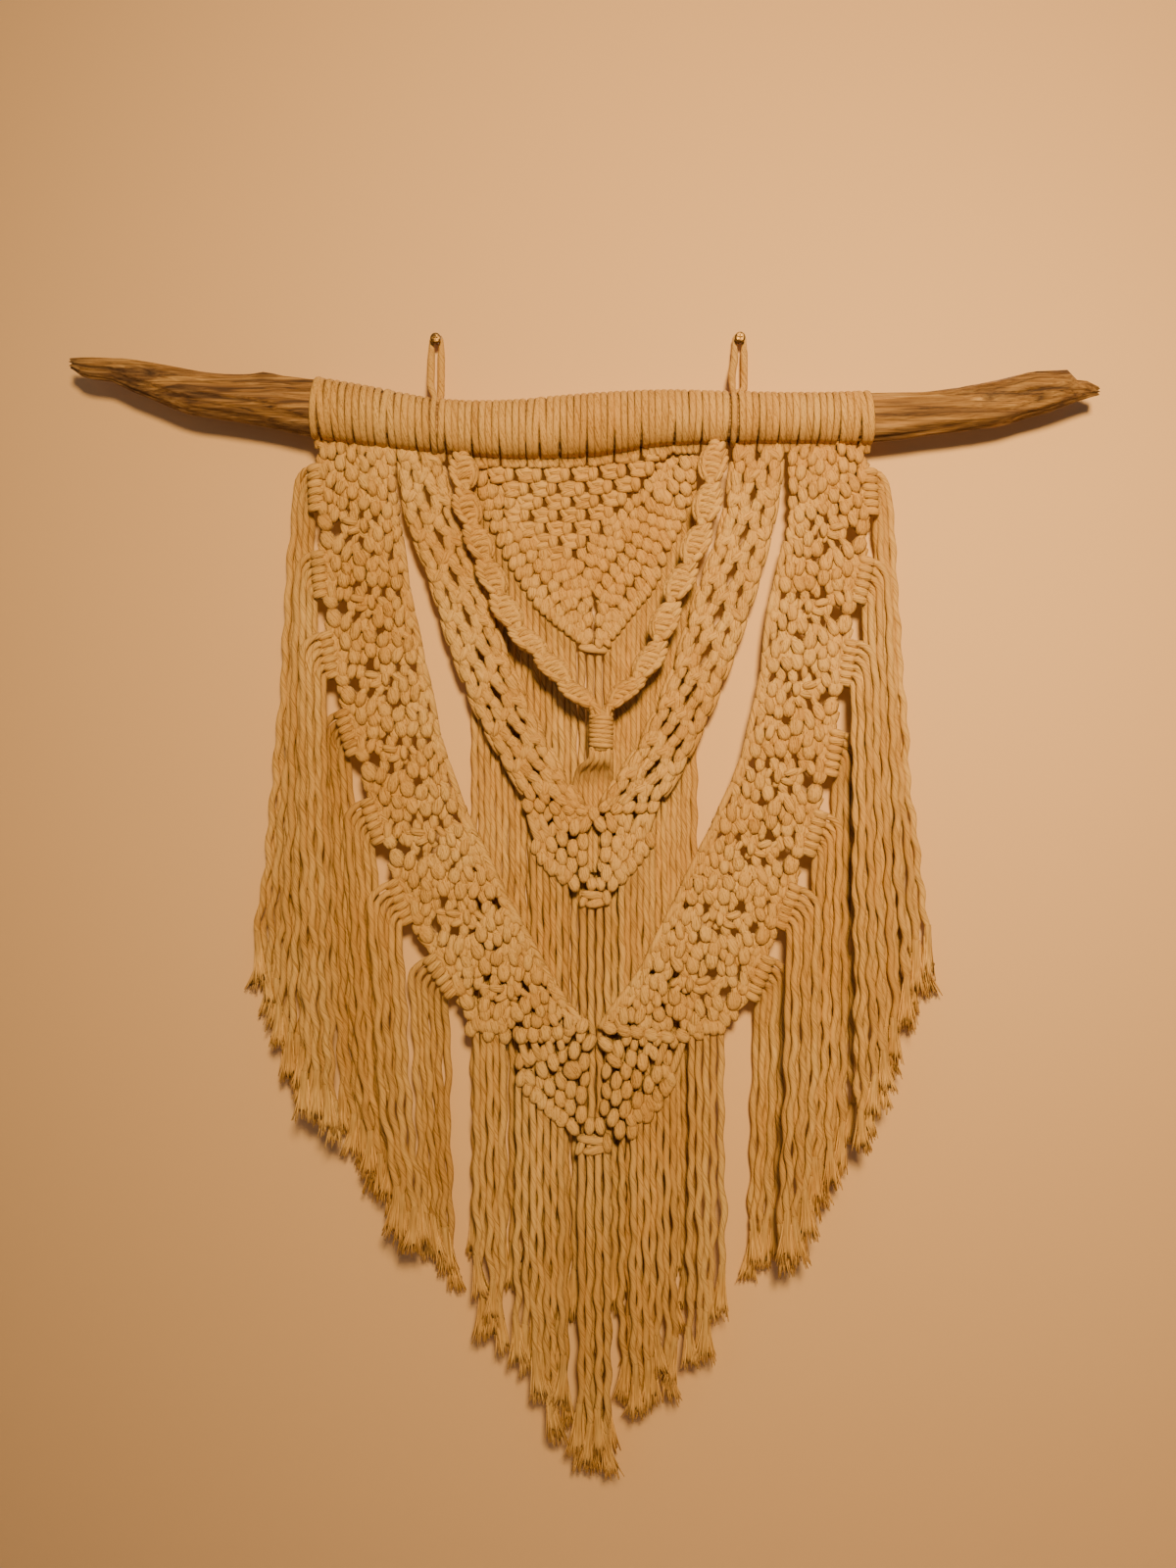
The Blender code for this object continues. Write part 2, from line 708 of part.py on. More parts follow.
def make_inner_bands():
    """A net of square knots in chains, with long gaps in turn."""
    holes = set()
    for level in range(1, 6 * INNER_ROWS - 1):
        holes |= {(1, level), (3, level)} if level % 2 else {(2, level)}
    for name, table in (("inner_band_left", INNER_BAND_LEFT), ("inner_band_right", INNER_BAND_RIGHT)):
        make_panel(name, hang_from_heading(table), INNER_LINES, INNER_ROWS, holes, net_ridge,
                   inner_depth, INNER_HOLE_SHARE)


def make_centre_panel():
    """Square knots in turn, inside a border of half hitches."""
    lines = [i / CENTRE_COLUMNS_COUNT for i in range(CENTRE_COLUMNS_COUNT + 1)]
    middle = CENTRE_COLUMNS_COUNT // 2
    holes = {(middle, 10), (middle, 11)}
    for level in range(1, 6):
        reach = 6 - level
        for column in range(middle - reach + 1, middle + reach):
            if (column + level) % 2:
                holes.add((column, level))
    make_panel("centre_panel", hang_from_heading(CENTRE_PANEL), lines, CENTRE_ROWS, holes,
               knot_ridge, centre_depth, CENTRE_HOLE_SHARE)


def centre_depth(v):
    return CENTRE_Y - CENTRE_TOP_PROUD * (1 - ease(v / CENTRE_TOP_SPANS))


def make_points():
    """The small triangles under the place where each pair of bands meets."""
    for name, table, depth in (
        ("inner_point_left", INNER_POINT_LEFT, INNER_Y),
        ("inner_point_right", INNER_POINT_RIGHT, INNER_Y),
        ("outer_point_left", OUTER_POINT_LEFT, OUTER_Y),
        ("outer_point_right", OUTER_POINT_RIGHT, OUTER_Y),
    ):
        make_panel(name, table, POINT_LINES, 2, set(), knot_ridge, lambda v, y=depth: y, 1.0)


# ---------------------------------------------------------------- spirals and gathering knot
def make_spiral(name, table, hand):
    """A flat sinnet that turns on itself, half a turn every SPIRAL_HALF_TURN."""
    line = []
    top_x = table[0][0]
    hung = ((top_x, underside(top_x) - SPIRAL_HANGS),) + table[1:]
    for i in range((len(table) - 1) * SPIRAL_STEPS + 1):
        x, z = smooth(hung, i / SPIRAL_STEPS)
        line.append(Vector((x, 0.0, z)))
    lengths = [0.0]
    for near, far in zip(line, line[1:]):
        lengths.append(lengths[-1] + (far - near).length)
    total = lengths[-1]
    count = round(total / SPIRAL_HALF_TURN * SPIRAL_RINGS_PER_HALF_TURN)
    rings = []
    for k in range(count + 1):
        s = total * k / count
        index = min(sum(1 for value in lengths if value <= s), len(line) - 1)
        t = (s - lengths[index - 1]) / max(lengths[index] - lengths[index - 1], EPSILON)
        centre = line[index - 1].lerp(line[index], min(t, 1.0))
        forward = ease(s / SPIRAL_COMES_FORWARD)
        centre.y = SPIRAL_Y_TOP + (SPIRAL_Y - SPIRAL_Y_TOP) * forward
        along = (line[index] - line[index - 1]).normalized()
        front = Vector((0.0, -1.0, 0.0))
        side = along.cross(front).normalized()
        narrow = 1 - SPIRAL_END_SHARE * ease((s - total + SPIRAL_NARROWS) / SPIRAL_NARROWS)
        turn = hand * math.pi * s / SPIRAL_HALF_TURN
        ring = []
        for angle in SPIRAL_SECTION_DEGREES:
            a = math.radians(angle)
            wide = SPIRAL_HALF_WIDTH * narrow * math.cos(a)
            thick = SPIRAL_HALF_THICKNESS * math.sin(a)
            across = wide * math.cos(turn) - thick * math.sin(turn)
            out = wide * math.sin(turn) + thick * math.cos(turn)
            ring.append((centre + side * across + front * out) * MM)
        rings.append(ring)
    add_piece(name, loft(rings, closed=False))


def make_gathering_knot():
    """A cord wound round the joined sinnets, with its tails below."""
    height = GATHER_TOP - GATHER_BOTTOM
    profile = [(0.0, GATHER_TOP)]
    for i in range(2 * GATHER_TURNS + 1):
        radius = GATHER_R if i % 2 else GATHER_R - GATHER_GROOVE
        profile.append((radius, GATHER_TOP - height * i / (2 * GATHER_TURNS)))
    profile.append((0.0, GATHER_BOTTOM))
    mesh = bpy.data.meshes.new("gather")
    points = [(r * MM, 0.0, z * MM) for r, z in profile]
    mesh.from_pydata(points, [(i, i + 1) for i in range(len(points) - 1)], [])
    item = bpy.data.objects.new("gather", mesh)
    GUIDES.objects.link(item)
    turn = item.modifiers.new("turn", "SCREW")
    turn.steps = GATHER_SIDES
    turn.render_steps = GATHER_SIDES
    turn.use_merge_vertices = True
    turn.merge_threshold = MERGE
    wound = weld(evaluated_mesh(item))
    bpy.data.objects.remove(item, do_unlink=True)
    wound.transform(Matrix.Translation((GATHER_X * MM, SPIRAL_Y * MM, 0.0)))
    tails = []
    for k in range(TAILS):
        offset = k - (TAILS - 1) / 2
        x = GATHER_X + offset * TAIL_STEP_IN_KNOT
        y = SPIRAL_Y + (TAIL_ROW_IN_KNOT if k % 2 else -TAIL_ROW_IN_KNOT)
        spread = GATHER_X - TAIL_SHIFT + offset * TAIL_STEP
        tails.append([
            (x, y, GATHER_BOTTOM + 2.0, 1.5),
            (x, y, GATHER_BOTTOM - 3.0, 2.1),
            (spread, TAIL_Y, GATHER_BOTTOM - TAIL_SPREADS, TAIL_R),
            (spread, TAIL_Y, TAIL_END, TAIL_R),
        ])
    add_piece("gathering_knot", united(wound, tube_mesh(tails, 3)))


# ---------------------------------------------------------------- fringes
def strand_route(root, out_x, tip_x, tip_z, layer_y):
    """From its root in the knot out to its place, back to its layer and down to its tip."""
    x0, y0, z0 = root
    radius = CORD_WIDTH / math.sqrt(3)
    bend_y = y0 * (1 - STRAND_LEAVES) + layer_y * STRAND_LEAVES
    settle = z0 - STRAND_SETTLES
    settle_x = out_x + (tip_x - out_x) * STRAND_SETTLES / max(z0 - tip_z, STRAND_SETTLES)
    return [
        (x0, y0, z0, radius * STRAND_ROOT_SHARE),
        (out_x, bend_y, z0 - STRAND_BEND, radius),
        (settle_x, layer_y, settle, radius),
        (tip_x, layer_y, tip_z, radius * STRAND_TIP_SHARE),
    ]


def make_fringe(name, backing_route, sides, strands):
    """Strands fused into one ridged backing."""
    add_piece(name, united(tube_mesh([backing_route], sides), tube_mesh(strands, 3)))


def make_side_fringes():
    """Three lark's heads on the outer edge of a band, and the strands that fall from them."""
    for side, table, hand in (("left", OUTER_BAND_LEFT, -1), ("right", OUTER_BAND_RIGHT, 1)):
        table = hang_from_heading(table)
        column = 0 if hand < 0 else 2
        tips = (LEFT_TIP_FIRST, LEFT_TIP_LAST) if hand < 0 else (RIGHT_TIP_FIRST, RIGHT_TIP_LAST)
        for number in range(SIDE_FRINGES):
            rng = random.Random(FRINGE_SEED * (hand + 2) + number)
            place = FRINGE_FIRST_SPAN + FRINGE_SPAN_STEP * number
            row = smooth(table, place)
            ahead = smooth(table, place + 0.1)
            centre = Vector((row[column], 0.0, row[column + 1]))
            along = (Vector((ahead[column], 0.0, ahead[column + 1])) - centre).normalized()
            out = Vector((along.z, 0.0, -along.x)) * -hand
            centre += out * (FRINGE_BLOCK_R + FRINGE_GAP)
            backing = []
            for k in range(7):
                point = centre + along * FRINGE_HALF_LENGTH * (k - 3) / 3
                radius = FRINGE_BLOCK_R * (1.0 if k % 2 else FRINGE_BLOCK_VALLEY)
                backing.append((point.x, OUTER_Y, point.z, radius))
            layer = FRINGE_LAYERS[number % len(FRINGE_LAYERS)]
            tip_centre = tips[0] + (tips[1] - tips[0]) * number / (SIDE_FRINGES - 1)
            outermost = min if hand < 0 else max
            edge = outermost(point[0] for point in backing)
            strands = []
            for j in range(FRINGE_STRANDS):
                share = j / (FRINGE_STRANDS - 1)
                run = FRINGE_ROOT_RUN[0] + FRINGE_ROOT_RUN[1] * share
                root = centre + along * FRINGE_HALF_LENGTH * run + out * FRINGE_ROOT_OUT
                place_out = FRINGE_FIRST_OUT + FRINGE_STRAND_STEP * (FRINGE_STRANDS - 1 - j)
                out_x = edge + hand * place_out
                stagger = FRINGE_STAGGER if j % 2 else -FRINGE_STAGGER
                tip_x = tip_centre - hand * (j - 2) * FRINGE_STRAND_STEP
                tip_z = at_x(CONTOUR, tip_x)[0] + rng.uniform(0.0, FRINGE_RAGGED)
                root_y = OUTER_Y + stagger * 0.6
                strands.append(strand_route((root.x, root_y, root.z), out_x, tip_x, tip_z,
                                            layer + stagger))
            make_fringe("fringe_%s_%d" % (side, number + 1), backing, 4, strands)


def make_edge_fringe(name, edge, count, backing_y, strand_y, shorter, seed):
    """A narrow ridged strip just under a slanting edge, with strands at even steps across.

    edge lists (x, z) on the strip's centre line, shorter the least and most that a strand ends
    above the lower edge of the whole fringe."""
    rng = random.Random(seed)
    first = edge[0][0]
    last = edge[-1][0]
    radius = CORD_WIDTH / 2 + EDGE_STRIP_SPARE
    backing = []
    for i, (x, z) in enumerate(edge):
        backing.append((x, backing_y, z, radius * EDGE_RIDGES[i % 2]))
    ordered = edge if last > first else edge[::-1]
    strands = []
    margin = EDGE_MARGIN if last > first else -EDGE_MARGIN
    for k in range(count):
        share = (k + 0.5) / count
        x = first + margin + (last - first - 2 * margin) * share
        z = at_x(ordered, x)[0]
        tip = min(at_x(CONTOUR, x)[0] + rng.uniform(*shorter), z - EDGE_SHORTEST)
        strands.append(strand_route((x, backing_y + EDGE_ROOT_BACK, z), x, x, tip, strand_y))
    make_fringe(name, backing, 4, strands)


def under_edge(table, column, start, stop, count, gap):
    """Points that run along an edge of a panel, a gap away from it on the outside."""
    points = []
    hand = -1 if column == 0 else 1
    for i in range(count + 1):
        place = start + (stop - start) * i / count
        row = smooth(table, place)
        back = smooth(table, max(place - 0.05, 0.0))
        ahead = smooth(table, min(place + 0.05, len(table) - 1))
        along = Vector((ahead[column] - back[column], ahead[column + 1] - back[column + 1]))
        along.normalize()
        out = Vector((along.y, -along.x)) * -hand
        points.append((row[column] + out.x * gap, row[column + 1] + out.y * gap))
    return points


def make_edge_fringes():
    gap = CORD_WIDTH / 2 + EDGE_GAP
    centre = hang_from_heading(CENTRE_PANEL)
    for side, column in (("left", 0), ("right", 2)):
        route = under_edge(centre, column, 1.15, 5.9, 10, gap)
        make_edge_fringe("fringe_centre_" + side, route, 12, CENTRE_Y - 0.5, CENTRE_STRAND_Y,
                         (40.0, 130.0), EDGE_SEEDS["centre"] + column)
    for side, table, column in (
        ("left", INNER_POINT_LEFT, 0),
        ("right", INNER_POINT_RIGHT, 2),
    ):
        route = under_edge(table, column, 0.9, 2.9, 6, gap)
        make_edge_fringe("fringe_inner_" + side, route, 5, INNER_Y + 0.5, INNER_STRAND_Y,
                         (25.0, 90.0), EDGE_SEEDS["inner"] + column)
    for side, table, column in (
        ("left", OUTER_POINT_LEFT, 0),
        ("right", OUTER_POINT_RIGHT, 2),
    ):
        route = under_edge(table, column, 0.9, 2.9, 8, gap)
        make_edge_fringe("fringe_outer_" + side, route, 6, OUTER_Y, OUTER_STRAND_Y,
                         (0.0, 45.0), EDGE_SEEDS["outer"] + column)
    for side, band, point, column in (
        ("left", OUTER_BAND_LEFT, OUTER_POINT_LEFT, 0),
        ("right", OUTER_BAND_RIGHT, OUTER_POINT_RIGHT, 2),
    ):
        hand = -1 if column == 0 else 1
        x0, z0 = band[-1][column], band[-1][column + 1]
        x1 = point[0][column] + hand * HEM_OUT
        slope = (band[-1][3] - band[-1][1]) / (band[-1][2] - band[-1][0])
        route = []
        for i in range(5):
            x = x0 - hand * HEM_END + (x1 - x0 + hand * HEM_END) * i / 4
            route.append((x, z0 + (x - x0) * slope - gap))
        make_edge_fringe("fringe_hem_" + side, route, 4, OUTER_Y, OUTER_STRAND_Y, (0.0, 30.0),
                         EDGE_SEEDS["hem"] + column)


def make_closing_knots():
    """A square knot: two bars across and one loop over them, with four strands below."""
    for name, x, z, width, height, y, strand_y in CLOSING_KNOTS:
        rng = random.Random(int(-z))
        bar = height / 2
        bars = []
        for level in (1, -1):
            at = z + level * height * KNOT_BAR_HEIGHT
            r = bar * 0.5
            bars.append([
                (x - width / 2, y, at, r * KNOT_BAR_ENDS),
                (x - width / 4, y - KNOT_BAR_PROUD, at, r * KNOT_BAR_SWELL),
                (x + width / 4, y - KNOT_BAR_PROUD, at, r * KNOT_BAR_SWELL),
                (x + width / 2, y, at, r * KNOT_BAR_ENDS),
            ])
        knot = united(tube_mesh(bars[:1], 6), tube_mesh(bars[1:], 6))
        near, far = KNOT_LOOP_ACROSS
        thin, thick = KNOT_LOOP_R
        loop = [
            (x + width * near, y - KNOT_LOOP_PROUD[0], z + height * KNOT_LOOP_HALF_HEIGHT, thin),
            (x + width * far, y - height * KNOT_LOOP_PROUD[1], z, thick),
            (x + width * near, y - KNOT_LOOP_PROUD[0], z - height * KNOT_LOOP_HALF_HEIGHT, thin),
        ]
        knot = united(knot, tube_mesh([loop], 6))
        strands = []
        for k in range(KNOT_STRANDS):
            strand_x = x + (k - (KNOT_STRANDS - 1) / 2) * KNOT_STRAND_STEP
            tip = at_x(CONTOUR, strand_x)[0] + rng.uniform(0.0, KNOT_RAGGED)
            root = (strand_x, y + KNOT_ROOT_BACK, z - height * KNOT_ROOT_DOWN)
            strands.append(strand_route(root, strand_x, strand_x, tip, strand_y))
        add_piece(name, united(knot, tube_mesh(strands, 3)))


# ---------------------------------------------------------------- the whole hanging
clear_scene()
HANGING = make_collection("macrame_wall_hanging")
GUIDES = make_collection("guides")
BRANCH_SMOOTH = branch_table()

make_branch()
for heading in HEADINGS:
    make_heading(*heading)
for loop_side, loop_x, loop_z, loop_ring in LOOPS:
    make_screw(loop_side, loop_x, loop_z)
    make_loop(loop_side, loop_x, loop_z, loop_ring)
make_outer_bands()
make_inner_bands()
make_centre_panel()
make_points()
make_spiral("spiral_left", SPIRAL_LEFT, 1)
make_spiral("spiral_right", SPIRAL_RIGHT, -1)
make_gathering_knot()
make_side_fringes()
make_edge_fringes()
make_closing_knots()
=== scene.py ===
"""Macrame wall hanging on a driftwood branch: the cords, the wood and the screws.

Frame: metres, +Z up, +X to the viewer's right, the wall is the plane y = 0 and the hanging is in
front of it (y < 0). Every table and function here works in millimetres, and MM turns a finished
mesh to metres.
"""
import math

import bmesh
import bpy
import numpy as np
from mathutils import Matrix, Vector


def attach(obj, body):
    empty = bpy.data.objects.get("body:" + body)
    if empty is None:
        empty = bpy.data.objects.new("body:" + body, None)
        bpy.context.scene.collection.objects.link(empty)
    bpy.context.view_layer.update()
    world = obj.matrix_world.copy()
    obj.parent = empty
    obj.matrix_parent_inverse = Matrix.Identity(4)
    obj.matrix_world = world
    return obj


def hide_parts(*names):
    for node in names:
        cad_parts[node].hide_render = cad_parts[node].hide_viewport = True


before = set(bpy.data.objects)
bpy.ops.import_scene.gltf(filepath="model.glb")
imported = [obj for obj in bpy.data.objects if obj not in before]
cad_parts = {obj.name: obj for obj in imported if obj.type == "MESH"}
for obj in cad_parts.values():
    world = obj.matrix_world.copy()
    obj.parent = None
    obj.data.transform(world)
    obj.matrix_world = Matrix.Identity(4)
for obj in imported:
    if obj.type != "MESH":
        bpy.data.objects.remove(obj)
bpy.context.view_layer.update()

MM = 0.001

# ---------------------------------------------------------------- the hanging's own sizes, millimetres
CORD_R = 2.5               # a 5 mm single strand cotton cord
WRAP_FLAT = 0.57           # a wrap's thickness against its width
WRAP_SQUEEZE = 0.11        # how far a wrap's foot is drawn towards its group's middle
WRAP_SWEEP = (-158.0, 172.0)   # degrees round the branch, from its top over its front
WRAP_REACH = 1.35          # from the wood to a wrap's middle
WRAP_LAY = 40.0            # one full turn of the fibres in a wrap
TWIST_LAY = 26.0           # one full turn of the cord's fibres
ACROSS = (1.0, 0.0, 0.0)   # the way a flat cord's width lies
HITCH_SWELL = 0.34         # how much the foot of a hitch draws in
HITCH_POINTS = 12          # corners of the ring that one hitch is
HITCH_CORD_R = 2.3         # half the thickness of its cord
HITCH_LAY = 70.0           # one full turn of the fibres in it
FILL_STEP = 1.5            # places tried for one more hitch
FILL_BARE = 1.04           # how bare a place must be, in half widths of a hitch
FILL_CLEAR = 3.4           # how far such a hitch keeps from an opening
STRAND_SPACING = 4.5
STRAND_WAVES = ((118.0, 0.55), (61.0, 0.5), (30.0, 0.95))   # length and height
BROOM_RISE = 7.0           # how far up a strand its brushed end begins
BROOM_LENGTHS = (24.0, 34.0)
BROOM_SPREADS = (5.4, 8.2)
BROOM_CORNERS = 20
LOOSE_THREADS = 40         # on each brushed end
# How far in front of the wall each layer lies.
BRANCH_Y = -23.5
BRANCH_DEPTH_RATIO = 0.93  # the branch's depth against its height
OUTER_Y = -23.0
INNER_Y = -19.0
CENTRE_Y = -12.5
OUTER_STRAND_Y = -21.5
INNER_STRAND_Y = -14.0
CENTRE_STRAND_Y = -5.5
SPIRAL_Y_TOP = -27.0
SPIRAL_Y = -31.0

# The branch, from its left tip to its right tip: station, upper edge, lower edge.
BRANCH = (
    (-378.7, -18.0, -25.2), (-368.6, -18.0, -32.4), (-349.2, -18.7, -35.3), (-335.5, -19.8, -41.8),
    (-316.8, -23.0, -49.5), (-293.0, -26.6, -59.0), (-266.4, -30.2, -63.4), (-234.7, -30.6, -68.4),
    (-199.4, -34.6, -75.6), (-161.3, -41.0, -79.9), (-113.0, -50.0, -85.0), (-63.4, -51.5, -89.5),
    (0.0, -46.5, -88.6), (54.0, -43.9, -80.6), (108.0, -45.0, -79.0), (158.4, -45.7, -78.5),
    (207.4, -44.6, -79.2), (258.5, -42.0, -73.4), (298.8, -34.6, -68.4), (321.0, -29.5, -61.9),
    (337.7, -28.1, -57.6), (352.0, -28.4, -52.6), (360.0, -33.5, -49.7), (368.6, -36.0, -46.8),
    (373.7, -40.3, -43.9),
)

# Cloth edges, top to bottom: x and z of the left edge, x and z of the right edge.
OUTER_BAND_LEFT = (
    (-199.0, -80.0, -142.6, -84.0), (-197.3, -139.7, -138.2, -143.3), (-193.7, -198.0, -130.3, -198.0),
    (-185.0, -254.9, -118.1, -252.7), (-169.9, -310.3, -106.6, -306.0), (-150.5, -375.1, -85.0, -362.9),
    (-131.0, -429.8, -52.6, -427.7), (-100.8, -480.2, -18.7, -487.4), (-86.4, -509.0, 2.6, -514.0),
)
OUTER_BAND_RIGHT = (
    (147.6, -84.0, 203.0, -82.0), (146.2, -146.9, 205.9, -143.3), (133.9, -199.4, 195.8, -202.3),
    (126.0, -260.6, 185.8, -262.1), (109.4, -323.3, 175.0, -326.9), (85.0, -375.1, 159.8, -380.9),
    (59.0, -427.7, 140.4, -432.7), (34.6, -474.5, 120.2, -481.7), (3.4, -514.0, 102.2, -510.5),
)
INNER_BAND_LEFT = (
    (-140.2, -84.0, -109.0, -88.0), (-135.4, -131.0, -92.9, -139.7), (-117.4, -179.3, -77.0, -186.5),
    (-102.2, -229.7, -58.3, -238.3), (-82.1, -280.1, -32.4, -293.8), (-59.8, -319.7, -10.8, -334.1),
    (-43.2, -347.8, 3.0, -352.0),
)
INNER_BAND_RIGHT = (
    (106.6, -84.0, 144.7, -84.0), (97.9, -139.7, 139.0, -128.9), (80.6, -186.5, 126.0, -180.7),
    (63.4, -241.2, 109.4, -231.1), (40.3, -295.2, 91.4, -276.5), (17.3, -330.5, 68.4, -323.3),
    (3.8, -352.0, 51.8, -347.8),
)
CENTRE_PANEL = (
    (-83.0, -92.0, 83.5, -88.0), (-83.6, -114.5, 74.2, -114.5), (-70.6, -136.1, 67.7, -136.1),
    (-61.2, -157.7, 56.2, -157.7), (-47.5, -180.7, 48.2, -180.7), (-33.8, -200.9, 33.1, -200.9),
    (-7.2, -222.5, 15.8, -222.5),
)
# Centre lines of the spirals, top to bottom: x and z.
SPIRAL_LEFT = (
    (-91.4, -95.5), (-88.6, -125.3), (-79.2, -154.1), (-67.0, -186.5), (-53.3, -214.6), (-31.5, -238.3),
    (-11.0, -262.0), (3.6, -274.9),
)
SPIRAL_RIGHT = (
    (92.8, -90.5), (87.0, -125.3), (76.5, -161.0), (60.5, -198.0), (47.0, -236.0), (36.5, -253.0),
    (25.5, -264.0), (15.6, -275.6),
)
# The triangles under the joins: x and z of the left edge, x and z of the right edge.
INNER_POINT_LEFT = (
    (-44.2, -348.2, 2.4, -352.4), (-39.6, -373.7, 1.8, -373.0), (-31.7, -389.5, 1.2, -388.0),
    (-14.0, -400.5, 1.8, -401.5),
)
INNER_POINT_RIGHT = (
    (4.4, -352.4, 52.6, -348.2), (7.6, -373.0, 46.8, -371.0), (8.0, -388.0, 37.0, -387.0),
    (4.6, -401.5, 22.0, -400.5),
)
OUTER_POINT_LEFT = (
    (-54.7, -511.6, 1.8, -514.5), (-50.4, -546.5, 1.4, -541.0), (-34.6, -565.2, 1.2, -560.0),
    (-16.6, -579.6, 1.8, -577.5),
)
OUTER_POINT_RIGHT = (
    (4.6, -514.4, 68.0, -512.3), (10.4, -541.0, 61.9, -546.5), (10.8, -560.0, 48.2, -566.0),
    (7.4, -577.5, 30.2, -580.6),
)
# Lower edge of the whole fringe, left to right.
CONTOUR = (
    (-249.8, -475.9), (-216.0, -560.9), (-168.5, -618.5), (-124.6, -679.7), (-69.1, -754.6),
    (-38.9, -802.0), (-12.2, -824.0), (14.4, -851.8), (38.2, -794.9), (76.3, -779.0), (110.9, -707.8),
    (152.6, -681.8), (193.0, -612.0), (228.2, -533.5), (257.0, -474.5),
)

# One repeat of the outer band, from a flower knot to the next: place across the band from its
# outer edge (0) to its inner edge (1), place down the repeat, width, height and lean of each hitch.
BAND_HITCHES = (
    (0.08, -0.03, 10.6, 12.2, -25), (0.2, -0.12, 7.4, 10.9, 15), (0.1, 0.19, 10.9, 12.9, -20),
    (0.22, 0.25, 8.4, 12.2, 15), (0.33, 0.33, 8.0, 14.1, 15), (0.47, 0.42, 10.3, 12.2, -15),
    (0.61, 0.46, 9.6, 10.9, 10), (0.76, 0.48, 7.1, 12.9, -20), (0.88, 0.5, 7.4, 13.5, 0),
    (0.59, 0.19, 9.6, 12.2, 0), (0.73, 0.08, 8.0, 12.2, -5), (0.85, -0.03, 7.4, 10.6, 0),
    (0.71, 0.27, 7.4, 10.3, -5), (0.84, 0.19, 7.1, 13.5, 5), (0.19, 0.48, 9.0, 12.9, 0),
    (0.3, 0.56, 7.4, 10.9, -20), (0.45, 0.63, 9.6, 12.9, -10), (0.6, 0.67, 9.6, 12.9, 0),
    (0.73, 0.69, 8.4, 12.2, 20), (0.88, 0.71, 9.3, 11.6, 0), (0.24, 0.71, 9.6, 11.6, 0),
    (0.11, 0.84, 6.8, 13.5, 0),
)
# Loose cords between the hitches: from and to, across and down the repeat.
BAND_LEGS = (
    (0.5, -0.3, 0.47, -0.13), (0.26, -0.14, 0.37, -0.02), (0.64, -0.08, 0.68, 0.04),
    (0.36, -0.02, 0.29, 0.17), (0.48, 0.07, 0.39, 0.24), (0.5, 0.04, 0.55, 0.13),
    (0.95, -0.27, 0.93, 0.17), (0.93, 0.2, 0.91, 0.42), (1.0, 0.1, 1.0, 0.6), (1.0, 0.56, 0.98, 0.84),
    (0.99, 0.8, 1.0, 1.12), (0.0, 0.24, 0.06, 0.44), (0.06, 0.42, 0.08, 0.66), (0.08, 0.62, 0.12, 0.77),
    (0.67, 0.76, 0.61, 0.89),
)
# The hitches over the first flower knot, under the branch, in the same places.
BAND_TOP = (
    (0.09, 0.18, 7.5, 11.0, 0), (0.19, 0.15, 7.0, 11.0, 0), (0.31, 0.07, 7.0, 11.0, 0),
    (0.3, 0.3, 8.0, 12.0, 5), (0.45, 0.42, 11.0, 12.0, 0), (0.45, 0.18, 7.5, 12.0, 0),
    (0.61, 0.31, 8.0, 12.0, -10), (0.7, 0.2, 7.5, 11.0, -10), (0.8, 0.1, 7.0, 11.0, -15),
    (0.85, 0.36, 8.0, 12.0, -10), (0.95, 0.17, 7.5, 12.0, -10), (0.07, 0.42, 8.0, 12.0, 0),
    (0.17, 0.51, 8.0, 12.0, 10), (0.29, 0.57, 8.0, 11.0, 20), (0.44, 0.62, 9.0, 11.0, 0),
    (0.59, 0.5, 8.5, 12.0, -20), (0.7, 0.56, 8.0, 12.0, -10), (0.83, 0.6, 8.0, 12.0, 0),
    (0.95, 0.5, 7.0, 12.0, 0), (0.58, 0.74, 9.0, 10.0, 10), (0.14, 0.68, 8.0, 11.0, 0),
    (0.31, 0.76, 8.5, 11.0, 10), (0.72, 0.78, 8.5, 12.0, 0), (0.87, 0.8, 8.5, 12.0, 5),
    (0.06, 0.82, 8.0, 11.0, -10),
)

# Openings of an outer band in one repeat: place across, place down and radius.
BAND_HOLES = (
    (0.21, 0.08, 3.2), (0.36, 0.19, 2.8), (0.49, 0.2, 1.6), (0.68, -0.05, 3.2), (0.57, 0.12, 1.4),
    (0.37, -0.18, 1.8), (0.5, -0.17, 1.4), (0.62, 0.39, 2.0), (0.89, 0.41, 2.2), (0.43, 0.75, 1.8),
    (0.87, 0.88, 2.6), (0.7, 0.86, 1.6), (0.17, 0.75, 1.6),
)
BAND_UNITS = 7             # repeats of an outer band
BAND_HITCHES_END = 7.72    # the last places of hitches and of loose cords down a band
BAND_LEGS_END = 7.9
